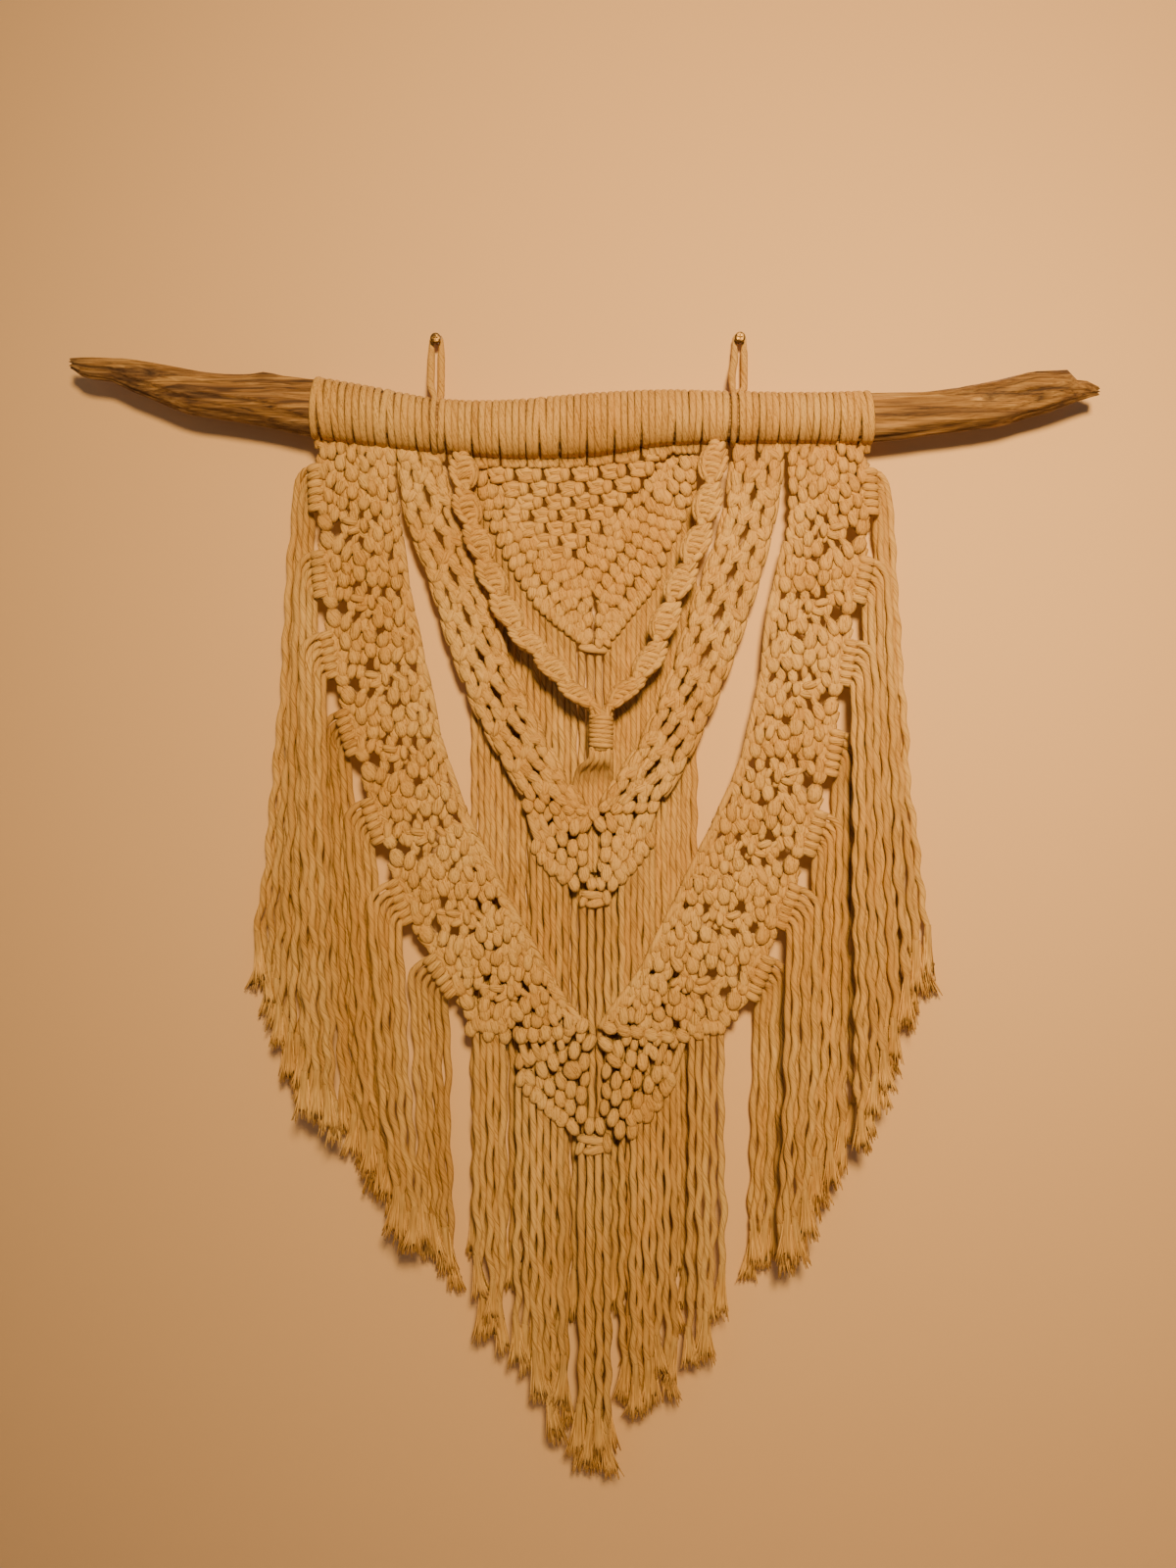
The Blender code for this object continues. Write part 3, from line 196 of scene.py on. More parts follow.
# One repeat of the inner band's net: place across, place down, width, height, lean from the
# band's own direction and how far it stands out, of each hitch.
NET_HITCHES = (
    (0.12, -0.04, 7.8, 16.0, 3, 0.0), (0.33, 0.04, 8.4, 16.0, -6, 0.3),
    (0.22, 0.02, 5.6, 12.5, 48, 1.0), (0.67, 0.04, 8.4, 16.0, 6, 0.3),
    (0.88, -0.04, 7.8, 16.0, -3, 0.0), (0.78, 0.02, 5.6, 12.5, -48, 1.0),
    (0.4, 0.47, 8.4, 16.0, 6, 0.2), (0.6, 0.53, 8.4, 16.0, -6, 0.2), (0.5, 0.5, 5.6, 12.5, 48, 1.1),
    (0.39, 0.25, 7.2, 14.0, -18, 0.0), (0.61, 0.26, 7.2, 14.0, 18, 0.0),
    (0.37, 0.76, 7.2, 14.0, 18, 0.0), (0.63, 0.75, 7.2, 14.0, -18, 0.0),
    (0.17, 0.25, 7.2, 13.5, -6, -0.2), (0.83, 0.25, 7.2, 13.5, 6, -0.2),
    (0.17, 0.74, 7.2, 13.5, 6, -0.2), (0.83, 0.74, 7.2, 13.5, -6, -0.2),
    (0.13, 0.5, 7.4, 16.5, 0, -0.2), (0.87, 0.5, 7.4, 16.5, 0, -0.2),
)
# The net's loose cords along both edges: place across, from and to down the repeat.
NET_LEGS = (
    (0.03, 0.15, 0.82),
    (0.97, 0.15, 0.82),
)
NET_PERIOD = 31.5          # about the length of a repeat
NET_MARGIN = 4.0           # from the band's end to its first repeat
# Rows of square knots in the centre panel: height of the row, place of its first opening and
# how many knots it has.
PANEL_ROWS = (
    (-92.9, -63.3, 7), (-103.5, -52.5, 6), (-113.5, -41.8, 5), (-122.8, -31.2, 4), (-132.2, -41.0, 4),
    (-142.6, -30.2, 3), (-151.8, -20.0, 2), (-161.0, -9.5, 1),
)
PANEL_PITCH = 20.7         # from one opening of a row to the next
# The panel's border, left (-1) and right: x and z down its outer and its inner edge.
PANEL_BORDER = {
    -1: (
        ((-80.5, -96.0), (-79.6, -114.5), (-67.6, -136.1), (-58.2, -157.7), (-44.5, -180.7), (-30.8, -200.9),
         (-6.2, -218.5)),
        ((-66.0, -96.0), (-58.0, -106.0), (-46.0, -120.0), (-34.0, -132.5), (-22.0, -145.0), (-11.0, -157.0),
         (1.5, -168.0)),
    ),
    1: (
        ((80.5, -94.0), (73.0, -114.5), (64.7, -136.1), (53.2, -157.7), (45.2, -180.7), (30.1, -200.9),
         (14.8, -218.5)),
        ((66.0, -94.0), (58.0, -106.0), (45.0, -120.0), (33.0, -132.5), (21.5, -145.0), (11.5, -157.0),
         (4.5, -168.0)),
    ),
}
PANEL_BORDER_ROWS = 4
BORDER_SPACING = 9.6       # from hitch to hitch along a row
BORDER_CLEAR = 5.4         # how near a hitch may come to those of the square knots
PANEL_SLIT_X = 4.2         # where the two halves part, near the point
PANEL_SLIT_TOP = -188.0

# Hitches where a pair of bands meets, and in the triangle on each side under it: x, z and lean.
OUTER_JOIN_LEFT = (
    (-85.9, -510.5, 0), (-73.0, -514.1, 0), (-60.8, -515.5, 0), (-49.2, -515.5, 0), (-40.2, -514.8, 0),
    (-31.2, -513.4, 0), (-22.2, -512.6, 0), (-13.3, -510.5, 20), (-4.3, -508.3, 30),
)
OUTER_JOIN_RIGHT = (
    (15.7, -509.5, -60), (26.6, -511.4, -60), (35.6, -512.7, -60), (46.5, -514.7, -65),
    (58.1, -516.0, -65), (69.7, -515.3, -50), (80.6, -512.7, -20), (91.4, -509.0, -20),
    (100.1, -503.3, -20),
)
OUTER_LEFT = (
    (0.7, -520.6, 35), (-10.1, -526.3, 10), (-2.9, -534.7, 10), (-25.5, -534.7, -10),
    (-33.8, -540.4, -15), (-42.8, -546.8, -20), (-19.7, -548.8, -15), (-28.1, -553.3, -15),
    (-37.0, -559.1, -15), (-12.6, -555.1, 0), (-20.3, -561.6, -10), (-28.1, -569.4, -15),
    (-4.9, -559.1, 5), (-13.2, -567.4, -5), (-20.3, -575.8, -15), (-4.9, -573.1, 5),
    (-11.3, -582.2, -30),
)
OUTER_RIGHT = (
    (13.1, -521.8, -45), (19.4, -533.4, -45), (22.1, -525.6, 0), (27.9, -541.1, 10), (31.7, -532.1, 0),
    (40.1, -534.7, 0), (35.6, -547.5, 10), (44.6, -551.4, 10), (50.4, -543.6, 10), (58.8, -551.4, 10),
    (20.9, -548.6, 15), (28.5, -555.1, 10), (36.3, -563.0, 10), (43.9, -573.1, 20), (51.0, -564.2, 10),
    (20.9, -560.4, 15), (27.3, -569.4, 15), (32.4, -584.8, 10), (23.4, -584.6, 10), (18.3, -575.8, 20),
)
INNER_JOIN_LEFT = (
    (-44.2, -346.3, -10), (-35.6, -346.3, -15), (-24.2, -348.5, -25), (-14.5, -349.2, -50),
    (-4.9, -349.9, -60),
)
INNER_JOIN_RIGHT = (
    (4.3, -352.5, 0), (12.7, -347.0, 50), (21.6, -348.4, 50), (30.2, -347.7, 45), (39.2, -347.7, 45),
    (48.1, -347.0, 30),
)
INNER_LEFT = (
    (-9.7, -362.2, 10), (-2.2, -360.7, 30), (-19.1, -370.4, -10), (-27.0, -375.1, -20),
    (-33.6, -383.5, -20), (-11.2, -378.0, 0), (-3.6, -373.2, 0), (-19.4, -384.2, -5),
    (-27.0, -391.8, -10), (-4.3, -384.9, 5), (-11.8, -390.5, -5), (-19.1, -398.0, -10),
    (-2.9, -396.6, 0), (-10.4, -403.5, -15),
)
INNER_RIGHT = (
    (8.9, -360.0, -25), (17.5, -360.0, -15), (13.3, -371.2, 10), (21.2, -375.3, 0), (31.0, -373.2, 20),
    (13.0, -382.2, 10), (26.1, -381.5, 20), (37.8, -378.7, 20), (20.9, -389.0, 20), (32.0, -390.5, 10),
    (13.7, -396.6, 10), (25.4, -398.0, 15), (18.5, -403.5, 15),
)
# Loose cords from a joining row down into its triangle: x and z at the top and at the bottom.
OUTER_LEGS_LEFT = (
    (-48.8, -521.3, -43.9, -538.0), (-40.0, -520.0, -35.5, -534.0), (-29.3, -519.0, -27.0, -530.0),
    (-21.0, -518.0, -19.0, -526.0),
)
OUTER_LEGS_RIGHT = (
    (34.5, -519.0, 33.5, -526.0), (45.5, -521.0, 41.5, -530.0), (57.0, -520.0, 50.5, -538.0),
    (69.8, -520.0, 60.5, -545.0),
)
INNER_LEGS_LEFT = (
    (-43.4, -353.0, -36.0, -374.5), (-35.2, -353.0, -29.5, -370.0), (-23.8, -353.5, -20.5, -365.0),
    (-14.5, -354.0, -14.0, -359.5),
)
INNER_LEGS_RIGHT = (
    (14.6, -352.5, 16.0, -356.0), (22.5, -353.0, 20.0, -358.0), (31.0, -353.0, 28.0, -366.0),
    (39.5, -353.0, 32.0, -368.0), (47.5, -352.0, 40.0, -373.0),
)


# ---------------------------------------------------------------- curves
def smooth(rows, position):
    """A row between the rows of a table, on a curve that runs through all of them."""
    last = len(rows) - 1
    index = min(max(int(math.floor(position)), 0), last - 1)
    t = min(max(position - index, 0.0), 1.0)
    before = np.array(rows[max(index - 1, 0)], float)
    near = np.array(rows[index], float)
    far = np.array(rows[index + 1], float)
    after = np.array(rows[min(index + 2, last)], float)
    slope_near = (far - before) / 2
    slope_far = (after - near) / 2
    blend = (2 * t**3 - 3 * t**2 + 1) * near + (t**3 - 2 * t**2 + t) * slope_near
    return blend + (-2 * t**3 + 3 * t**2) * far + (t**3 - t**2) * slope_far


def at_x(rows, x):
    """The other columns of a table at a given x, its first column, by straight runs."""
    table = np.array(rows, float)
    return [float(np.interp(x, table[:, 0], table[:, c])) for c in range(1, table.shape[1])]


def ease(t):
    t = np.clip(t, 0.0, 1.0)
    return t * t * (3 - 2 * t)


def smooth_route(points, spacing):
    """Even points along a smooth curve through some given ones, which never swings past them;
    extra columns come along."""
    rows = np.array([tuple(p) for p in points], float)
    run = np.maximum(np.linalg.norm(np.diff(rows[:, :3], axis=0), axis=1), 1e-6)[:, None]
    rate = np.diff(rows, axis=0) / run
    slope = np.concatenate((rate[:1], np.zeros_like(rows[1:-1]), rate[-1:]))
    before, after = rate[:-1], rate[1:]
    same = before * after > 0
    near, far = 2 * run[1:] + run[:-1], run[1:] + 2 * run[:-1]
    shared = near / np.where(same, before, 1.0) + far / np.where(same, after, 1.0)
    slope[1:-1] = np.where(same, (near + far) / np.where(same, shared, 1.0), 0.0)
    t = (np.arange(8) / 8)[None, :, None]
    dense = (
        (2 * t**3 - 3 * t**2 + 1) * rows[:-1, None]
        + (t**3 - 2 * t**2 + t) * (slope[:-1] * run)[:, None]
        + (3 * t**2 - 2 * t**3) * rows[1:, None]
        + (t**3 - t**2) * (slope[1:] * run)[:, None]
    ).reshape(-1, rows.shape[1])
    dense = np.concatenate((dense, rows[-1:]))
    steps = np.linalg.norm(np.diff(dense[:, :3], axis=0), axis=1)
    length = np.concatenate(([0.0], np.cumsum(steps)))
    count = max(int(round(length[-1] / spacing)), 2)
    at = np.linspace(0.0, length[-1], count + 1)
    return np.stack([np.interp(at, length, dense[:, c]) for c in range(dense.shape[1])], axis=1)


def table_curve(table, parts):
    """The rows of a table on its smooth curve, with so many parts from one row to the next."""
    return np.array([smooth(table, i / parts) for i in range((len(table) - 1) * parts + 1)])


def between_edges(edge, x, z, margin):
    """Whether a place lies between the two edges of a panel, a margin away from both."""
    left = np.interp(-z, -edge[:, 1], edge[:, 0])
    right = np.interp(-z, -edge[:, 3], edge[:, 2])
    return left + margin < x < right - margin


BRANCH_SMOOTH = table_curve(BRANCH, 8)


def branch_at(x):
    """Half height and centre height of the branch at x."""
    top, bottom = at_x(BRANCH_SMOOTH, x)
    return (top - bottom) / 2, (top + bottom) / 2


def underside(x):
    return at_x(BRANCH_SMOOTH, x)[1] - 2.9


def on_band(table, place, across):
    """x and z on a band, at a place down it and a share of the way across."""
    left_x, left_z, right_x, right_z = smooth(table, place)
    return left_x + (right_x - left_x) * across, left_z + (right_z - left_z) * across


# ---------------------------------------------------------------- cord
def tube_faces(rows, sides, ring=False):
    """Quads of a tube of rings of corners, with closed ends or joined end to end as a ring."""
    index = np.arange(rows if ring else rows - 1)[:, None]
    here = np.arange(sides)[None, :]
    beside = (here + 1) % sides
    near, far = index * sides, (index + 1) % rows * sides
    faces = [np.stack((near + here, near + beside, far + beside, far + here), axis=2).reshape(-1, 4)]
    if not ring:
        fan = np.arange(0, sides - 2, 2)
        faces.append(np.stack((0 * fan, fan + 3, fan + 2, fan + 1), axis=1))
        faces.append(np.stack((0 * fan, fan + 1, fan + 2, fan + 3), axis=1) + (rows - 1) * sides)
    return np.concatenate(faces)


class CordWork:
    """Lengths of cord that are gathered into one mesh.

    Every point keeps where it lies on its own cord, as (round the cord, along it) turned with the
    twist, so that the fibres follow the cord through every bend, and a tone of its own."""

    def __init__(self, seed):
        self.rng = np.random.default_rng(seed)
        self.points = []
        self.faces = []
        self.lays = []
        self.tones = []
        self.covers = []
        self.count = 0

    def cord(self, route, radius=CORD_R, sides=8, flat=1.0, axis=None, ring=False, lay_turn=TWIST_LAY):
        """A length of cord along a route. Its radius, flat (its thickness against its width) and axis
        (the way its width lies) may change along it, and ring joins its two ends."""
        line = np.asarray(route, float)[:, :3]
        n = len(line)
        if ring:
            tangent = np.roll(line, -1, axis=0) - np.roll(line, 1, axis=0)
        else:
            tangent = np.gradient(line, axis=0)
        tangent /= np.linalg.norm(tangent, axis=1)[:, None] + 1e-9
        if axis is None:
            across = np.zeros_like(line)
            start = np.array((0.0, 1.0, 0.0)) if abs(tangent[0][1]) < 0.9 else np.array((1.0, 0.0, 0.0))
            for i in range(n):
                start = start - tangent[i] * np.dot(start, tangent[i])
                start /= np.linalg.norm(start) + 1e-9
                across[i] = start
        else:
            wanted = np.broadcast_to(np.asarray(axis, float), line.shape)
            across = wanted - tangent * np.sum(wanted * tangent, axis=1)[:, None]
            across /= np.linalg.norm(across, axis=1)[:, None] + 1e-9
        out = np.cross(tangent, across)
        wide = np.broadcast_to(np.asarray(radius, float), (n,))
        thick = wide * np.broadcast_to(np.asarray(flat, float), (n,))
        angle = 2 * math.pi * np.arange(sides) / sides
        cos, sin = np.cos(angle), np.sin(angle)
        shell = (
            line[:, None, :]
            + across[:, None, :] * (wide[:, None] * cos)[:, :, None]
            + out[:, None, :] * (thick[:, None] * sin)[:, :, None]
        )
        steps = np.linalg.norm(np.diff(line, axis=0), axis=1)
        along = np.concatenate(([0.0], np.cumsum(steps)))
        turned = angle[None, :] + along[:, None] * 2 * math.pi / lay_turn
        shift = self.rng.uniform(0.0, 500.0)
        if ring or axis is not None:
            first, second = wide[:, None] * np.cos(turned), wide[:, None] * np.sin(turned)
        else:
            # unrolled, with the seam at the back of the cord
            first, second = wide.mean() * turned, 0.0 * turned
        third = np.broadcast_to(along[:, None], turned.shape)
        lay = np.stack((first + shift, second - shift, third + 3 * shift), axis=2)
        tone = np.full(n * sides, self.rng.uniform(0.0, 1.0))
        self.keep(shell.reshape(-1, 3), tube_faces(n, sides, ring), lay.reshape(-1, 3), tone)

    def keep(self, points, faces, lay, tone):
        self.points.append(points)
        self.faces.append(faces + self.count)
        self.lays.append(lay)
        self.tones.append(tone)
        self.count += len(points)

    def make(self, name, material, *nodes):
        """One finished object that stands for the named solids."""
        points = np.concatenate(self.points) * MM
        faces = np.concatenate(self.faces).astype(np.int32)
        mesh = bpy.data.meshes.new(name)
        mesh.vertices.add(len(points))
        mesh.vertices.foreach_set("co", points.astype(np.float32).ravel())
        mesh.loops.add(faces.size)
        mesh.loops.foreach_set("vertex_index", faces.ravel())
        mesh.polygons.add(len(faces))
        mesh.polygons.foreach_set("loop_start", np.arange(0, faces.size, 4, dtype=np.int32))
        mesh.polygons.foreach_set("loop_total", np.full(len(faces), 4, dtype=np.int32))
        mesh.polygons.foreach_set("use_smooth", np.ones(len(faces), dtype=bool))
        lay = mesh.attributes.new("lay", "FLOAT_VECTOR", "POINT")
        lay.data.foreach_set("vector", np.concatenate(self.lays).astype(np.float32).ravel())
        tone = mesh.attributes.new("tone", "FLOAT", "POINT")
        tone.data.foreach_set("value", np.concatenate(self.tones).astype(np.float32))
        mesh.update()
        mesh.validate()
        mesh.materials.append(material)
        piece = bpy.data.objects.new(name, mesh)
        bpy.context.scene.collection.objects.link(piece)
        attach(piece, "root")
        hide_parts(*nodes)
        return piece


# ---------------------------------------------------------------- knots
def hitch(work, x, y, z, lean, wide, tall, deep, swell=HITCH_SWELL):
    """One turn of cord round a leader: a plump closed ring with a broad top and a narrower foot.

    swell is how much the foot draws in. The foot stands forward, the top goes in under the row
    above."""
    turn = math.radians(lean)
    up = np.array((math.sin(turn), 0.0, math.cos(turn)))
    across = np.array((math.cos(turn), 0.0, -math.sin(turn)))
    a = 2 * math.pi * (np.arange(HITCH_POINTS) + 0.5) / HITCH_POINTS + math.pi / 2
    high = np.sign(np.cos(a)) * np.abs(np.cos(a)) ** 0.85
    rise = (tall / 2 - HITCH_CORD_R) * high
    depth = (deep / 2 - HITCH_CORD_R) * np.sign(np.sin(a)) * np.abs(np.sin(a)) ** 0.7 + 0.8 * high
    centre = np.array((x, y, z))
    route = centre + up * rise[:, None] + np.array((0.0, 1.0, 0.0)) * depth[:, None]
    drawn = np.where(high > 0, 0.75 * swell, 1.15 * swell) * np.abs(high) ** 2.4
    half = wide / 2 * (1 - drawn)
    work.cord(route, half, 8, HITCH_CORD_R / half, across, ring=True, lay_turn=HITCH_LAY)
    work.covers.append((x, z, wide / 2, tall / 2, turn))


def hitches(work, x, y, z, rows):
    """Hitches round a place: how far to the right, back and up, then each one's own sizes."""
    for right, back, up, *sizes in rows:
        hitch(work, x + right, y + back, z + up, *sizes)


def fill(work, inside, box, y, holes, size=(7.8, 13.0), limit=400):
    """Hitches in the gaps between those already made, a little deeper, except at the holes."""
    xs = np.arange(box[0], box[1], FILL_STEP)
    zs = np.arange(box[2], box[3], FILL_STEP)
    gx, gz = (g.ravel() for g in np.meshgrid(xs, zs))
    keep = np.array([inside(px, pz) for px, pz in zip(gx, gz)])
    gx, gz = gx[keep], gz[keep]
    for hx, hz, radius in holes:
        clear = np.hypot((gx - hx) * 1.15, (gz - hz) * 0.85) > radius + FILL_CLEAR
        gx, gz = gx[clear], gz[clear]
    bare = np.full(len(gx), 9.0)

    def cover(cx, cz, half_wide, half_tall, turn):
        along = (gx - cx) * math.sin(turn) + (gz - cz) * math.cos(turn)
        across = (gx - cx) * math.cos(turn) - (gz - cz) * math.sin(turn)
        np.minimum(bare, np.hypot(across / half_wide, along / half_tall), out=bare)

    for item in work.covers:
        cover(*item)
    for _ in range(limit):
        i = int(np.argmax(bare)) if len(bare) else 0
        if len(bare) == 0 or bare[i] < FILL_BARE:
            return
        tilt = work.rng.uniform(-18.0, 18.0)
        hitch(work, gx[i], y + 1.7 + work.rng.uniform(-0.4, 0.4), gz[i], tilt, *size, 9.0)
        cover(*work.covers[-1])


def clear_of(holes, x, z, wide, tall):
    """Moves a hitch a little, so that it stays out of the openings beside it."""
    for hx, hz, radius in holes:
        dx, dz = x - hx, z - hz
        away = math.hypot(dx, dz) + 1e-6
        reach = 1 / math.hypot(dx / away / (wide / 2), dz / away / (tall / 2))
        lack = radius + reach * 0.9 - away
        if 0 < lack < 4.5:
            push = min(lack, 2.0) / away
            x, z = x + dx * push, z + dz * push
    return x, z


def tail(work, x, y, z, wide, tall, toward):
    """The cord that comes down into a hitch, slantwise from the row above it."""
    top = np.array((x + toward * 5.0, y + 1.8, z + tall * 0.66))
    low = np.array((x - toward * 0.4, y - 0.6, z + tall * 0.18))
    t = np.array((0.0, 0.4, 0.75, 1.0))[:, None]
    route = top + (low - top) * t
    route[1:3, 1] -= 0.8
    work.cord(route, np.array((1.8, 2.6, 2.8, 1.8)), 6)


def leg(work, start, end, radius, bulge):
    """A short loose cord between two knots, bowed to the front."""
    start, end = np.array(start, float), np.array(end, float)
    t = np.linspace(0.0, 1.0, 5)[:, None]
    route = start + (end - start) * t
    route[:, 1] -= bulge * np.sin(math.pi * t[:, 0])
    work.cord(route, radius * np.array((0.85, 1.0, 1.04, 1.0, 0.85)))


def square_knot(work, hole_x, y, hole_z):
    """A square knot seen from the opening at its right: two bars, a loop over their end and the
    turn of the next cord on the far side of the opening."""
    j = work.rng.uniform(-1.0, 1.0, 8)
    hitches(work, hole_x, y, hole_z, (
        (-12.8, 0.0, 2.7 + 0.3 * j[0], 95 + 5 * j[1], 7.0, 14.0, 9.6, 0.2),
        (-13.2, 0.0, -3.1 + 0.3 * j[2], 83 + 5 * j[3], 7.0, 14.0, 9.6, 0.2),
        (-5.9, -0.5, 0.5 + 0.4 * j[4], 5 * j[5], 7.8, 12.8, 10.4, 0.2),
        (-18.4, 0.4, 1.2 + 0.4 * j[6], -28 + 7 * j[7], 6.0, 12.4, 8.8, 0.2),
    ))


def strand(work, route, radius, wave):
    """A hanging cord: smooth, with the kinks that it keeps, growing towards its loose end.

    route ends where the cord starts to fray. Returns its last point and direction."""
    line = smooth_route(route, STRAND_SPACING)
    rng = work.rng
    n = len(line)
    fall = np.linspace(0.0, 1.0, n)
    along = fall * np.linalg.norm(line[-1, :3] - line[0, :3])
    held = ease(along / 40.0)
    grows = 0.4 + 0.8 * fall
    for column, share in ((0, 1.0), (1, 0.5)):
        drift = np.zeros(n)
        for length, size in STRAND_WAVES:
            stretch = length * rng.uniform(0.8, 1.25)
            drift += size * grows * np.sin(2 * math.pi * (along / stretch + rng.uniform(0.0, 1.0)))
        line[:, column] += wave * share * held * drift
    uneven = radius * (1 + 0.05 * np.sin(along / 5.2 + rng.uniform(0.0, 6.0)) + rng.uniform(-0.03, 0.03, n))
    uneven[-2:] *= (0.86, 0.6)
    work.cord(line, uneven)
    return line[-1, :3], line[-1, :3] - line[-2, :3]


def broom(work, start, axes, radius, length, spread, flat):
    """The body of a brushed end: rings of corners that swing in and out as threads, closed a
    little above its end. Returns how far its end sways."""
    rng = work.rng
    side, depth, down = axes
    corners = BROOM_CORNERS
    t = np.array((0.0, 0.2, 0.42, 0.64, 0.84, 0.9))
    angle = 2 * math.pi * np.arange(corners) / corners
    ridge = np.where(np.arange(corners) % 2 == 0, 1.0, -1.0) * rng.uniform(0.4, 1.0, corners)
    opens = radius * 0.96 + (spread * 0.8 - radius) * t**1.5
    opens[-1] = spread * 0.45
    swing = 1 + np.outer(np.array((0.0, 0.05, 0.09, 0.12, 0.14, 0.1)), ridge)
    fall = np.outer(t, np.ones(corners)) * length
    fall[3] += rng.uniform(-0.04, 0.04, corners) * length
    fall[4] += rng.uniform(-0.13, 0.10, corners) * length
    fall[5] = 0.80 * length
    sway = rng.uniform(-0.10, 0.10) * length * t**2
    thick = opens * (1.02 + (flat - 1.0) * t)
    shell = (
        start
        + side * (opens[:, None] * swing * np.cos(angle) + sway[:, None])[:, :, None]
        + depth * (thick[:, None] * swing * np.sin(angle))[:, :, None]
        + down * fall[:, :, None]
    )
    faces = tube_faces(len(t), corners)
    if np.dot(np.cross(side, depth), down) >= 0:
        faces = faces[:, ::-1]
    shift = rng.uniform(0.0, 500.0)
    round_it = np.broadcast_to(np.arange(corners) * 1.6, fall.shape)
    lay = np.stack((round_it + shift, fall * 0 + shift, fall + shift), axis=2)
    own = rng.uniform(0.2, 0.9)
    # the brushed end grows paler towards its tip: partly the frayed fibres' own paleness, partly painted
    # light that offsets the shade inside the bundle
    tone = np.repeat(own + (rng.uniform(1.2, 1.7) - own) * t, corners)
    work.keep(shell.reshape(-1, 3), faces, lay.reshape(-1, 3), tone)
    return sway[4]


def loose_threads(work, start, axes, radius, length, spread, flat, sway):
    """Threads that stand out from the side of a brushed end and past it."""
    rng = work.rng
    count = LOOSE_THREADS
    side, depth, down = axes
    spin = rng.uniform(0.0, 2 * math.pi, count)
    reach = np.sqrt(rng.uniform(0.5, 1.1, count))[:, None]
    t = np.array((0.0, 0.35, 0.7, 1.0))
    begins = rng.uniform(0.12, 0.4, count)[:, None]
    along = begins + (rng.uniform(0.84, 1.07, count)[:, None] - begins) * t
    opening = radius * 0.9 + (spread - radius) * along**1.6
    curl = rng.uniform(-1.0, 1.0, (count, 2))
    wide = np.cos(spin)[:, None] * reach * opening + curl[:, :1] * t**2 * 2.6 + sway * along**2
    deep = np.sin(spin)[:, None] * reach * opening * flat + curl[:, 1:] * t**2 * 1.2
    line = start + down * (length * along)[:, :, None] + side * wide[:, :, None] + depth * deep[:, :, None]
    thin = np.array((0.45, 0.6, 0.55, 0.3))[:, None]
    corner = np.array(((1, 0), (0, 1), (-1, 0), (0, -1)), float)
    shell = (
        line[:, :, None, :]
        + side * (thin * corner[:, 0])[None, :, :, None]
        + depth * (thin * corner[:, 1])[None, :, :, None]
    )
    quads = np.roll(tube_faces(len(t), 4)[:, ::-1], 1, axis=1)
    faces = (quads[None] + (np.arange(count) * len(t) * 4)[:, None, None]).reshape(-1, 4)
    shift = rng.uniform(0.0, 500.0, (count, 1, 1, 1))
    round_it = np.broadcast_to(corner, (count, len(t), 4, 2)) * 0.2 + shift
    down_it = (along * length)[:, :, None, None] * np.ones((1, 1, 4, 1)) + shift
    lay = np.concatenate((round_it, down_it), axis=3)
    # loose threads are paler too: partly their own paleness, partly painted light
    tone = np.repeat(rng.uniform(1.2, 2.0, count), len(t) * 4)
    work.keep(shell.reshape(-1, 3), faces, lay.reshape(-1, 3), tone)


def brush(work, end, direction, radius, length, spread):
    """The unravelled end of a cord, which opens like a broom from a little way up the cord."""
    direction = np.asarray(direction, float) / np.linalg.norm(direction)
    down = 0.5 * direction + 0.5 * np.array((0.0, 0.0, -1.0))
    down /= np.linalg.norm(down)
    side = np.cross(down, (0.0, 1.0, 0.0))
    side /= np.linalg.norm(side)
    axes = (side, np.cross(side, down), down)
    start = np.asarray(end, float) - direction * BROOM_RISE
    length = length + BROOM_RISE
    # flatter where the wall is near
    flat = min(0.6, (-float(end[1]) - 2.0) / spread)
    sway = broom(work, start, axes, radius, length, spread, flat)
    loose_threads(work, start, axes, radius, length, spread, flat, sway)


def hanging_strand(work, route, tip, radius, wave):
    """A strand with its brushed out end, whose threads reach down to the tip."""
    rng = work.rng
    length = rng.uniform(*BROOM_LENGTHS)
    x, y, z = tip
    end, direction = strand(work, list(route) + [(x, y, z + length)], radius, wave)
    brush(work, end, direction, radius, length, rng.uniform(*BROOM_SPREADS))


# ---------------------------------------------------------------- finishes
def linear(hex_colour):
    """An sRGB hex value as linear red, green, blue and alpha."""
    values = [int(hex_colour[i:i + 2], 16) / 255 for i in (1, 3, 5)]
    return tuple(v / 12.92 if v <= 0.04045 else ((v + 0.055) / 1.055) ** 2.4 for v in values) + (1.0,)


def fit_node(material, node, inputs=None, links=None):
    """Sets a node's constant inputs, and its links from other nodes, each as (node, socket)."""
    for key, value in (inputs or {}).items():
        node.inputs[key].default_value = value
    for key, (source, socket) in (links or {}).items():
        material.node_tree.links.new(source.outputs[socket], node.inputs[key])
    return node


def add_node(material, kind, settings=None, inputs=None, links=None):
    node = material.node_tree.nodes.new(kind)
    for key, value in (settings or {}).items():
        setattr(node, key, value)
    return fit_node(material, node, inputs, links)


def add_noise(material, source, scale, **inputs):
    """Noise on the coordinates of a source. Three scales stretch it along the axes."""
    if isinstance(scale, tuple):
        at = add_node(material, "ShaderNodeMapping", {}, {"Scale": scale}, {"Vector": source})
        source, scale = (at, "Vector"), 1.0
    return add_node(material, "ShaderNodeTexNoise", {}, {"Scale": scale, **inputs}, {"Vector": source})


def add_ramp(material, source, *stops):
    """A colour for each value of a source, (place, hex colour) by stop."""
    node = add_node(material, "ShaderNodeValToRGB", links={"Fac": source})
    elements = node.color_ramp.elements
    while len(elements) < len(stops):
        elements.new(1.0)
    for element, (position, colour) in zip(elements, stops):
        element.position = position
        element.color = linear(colour)
    return node


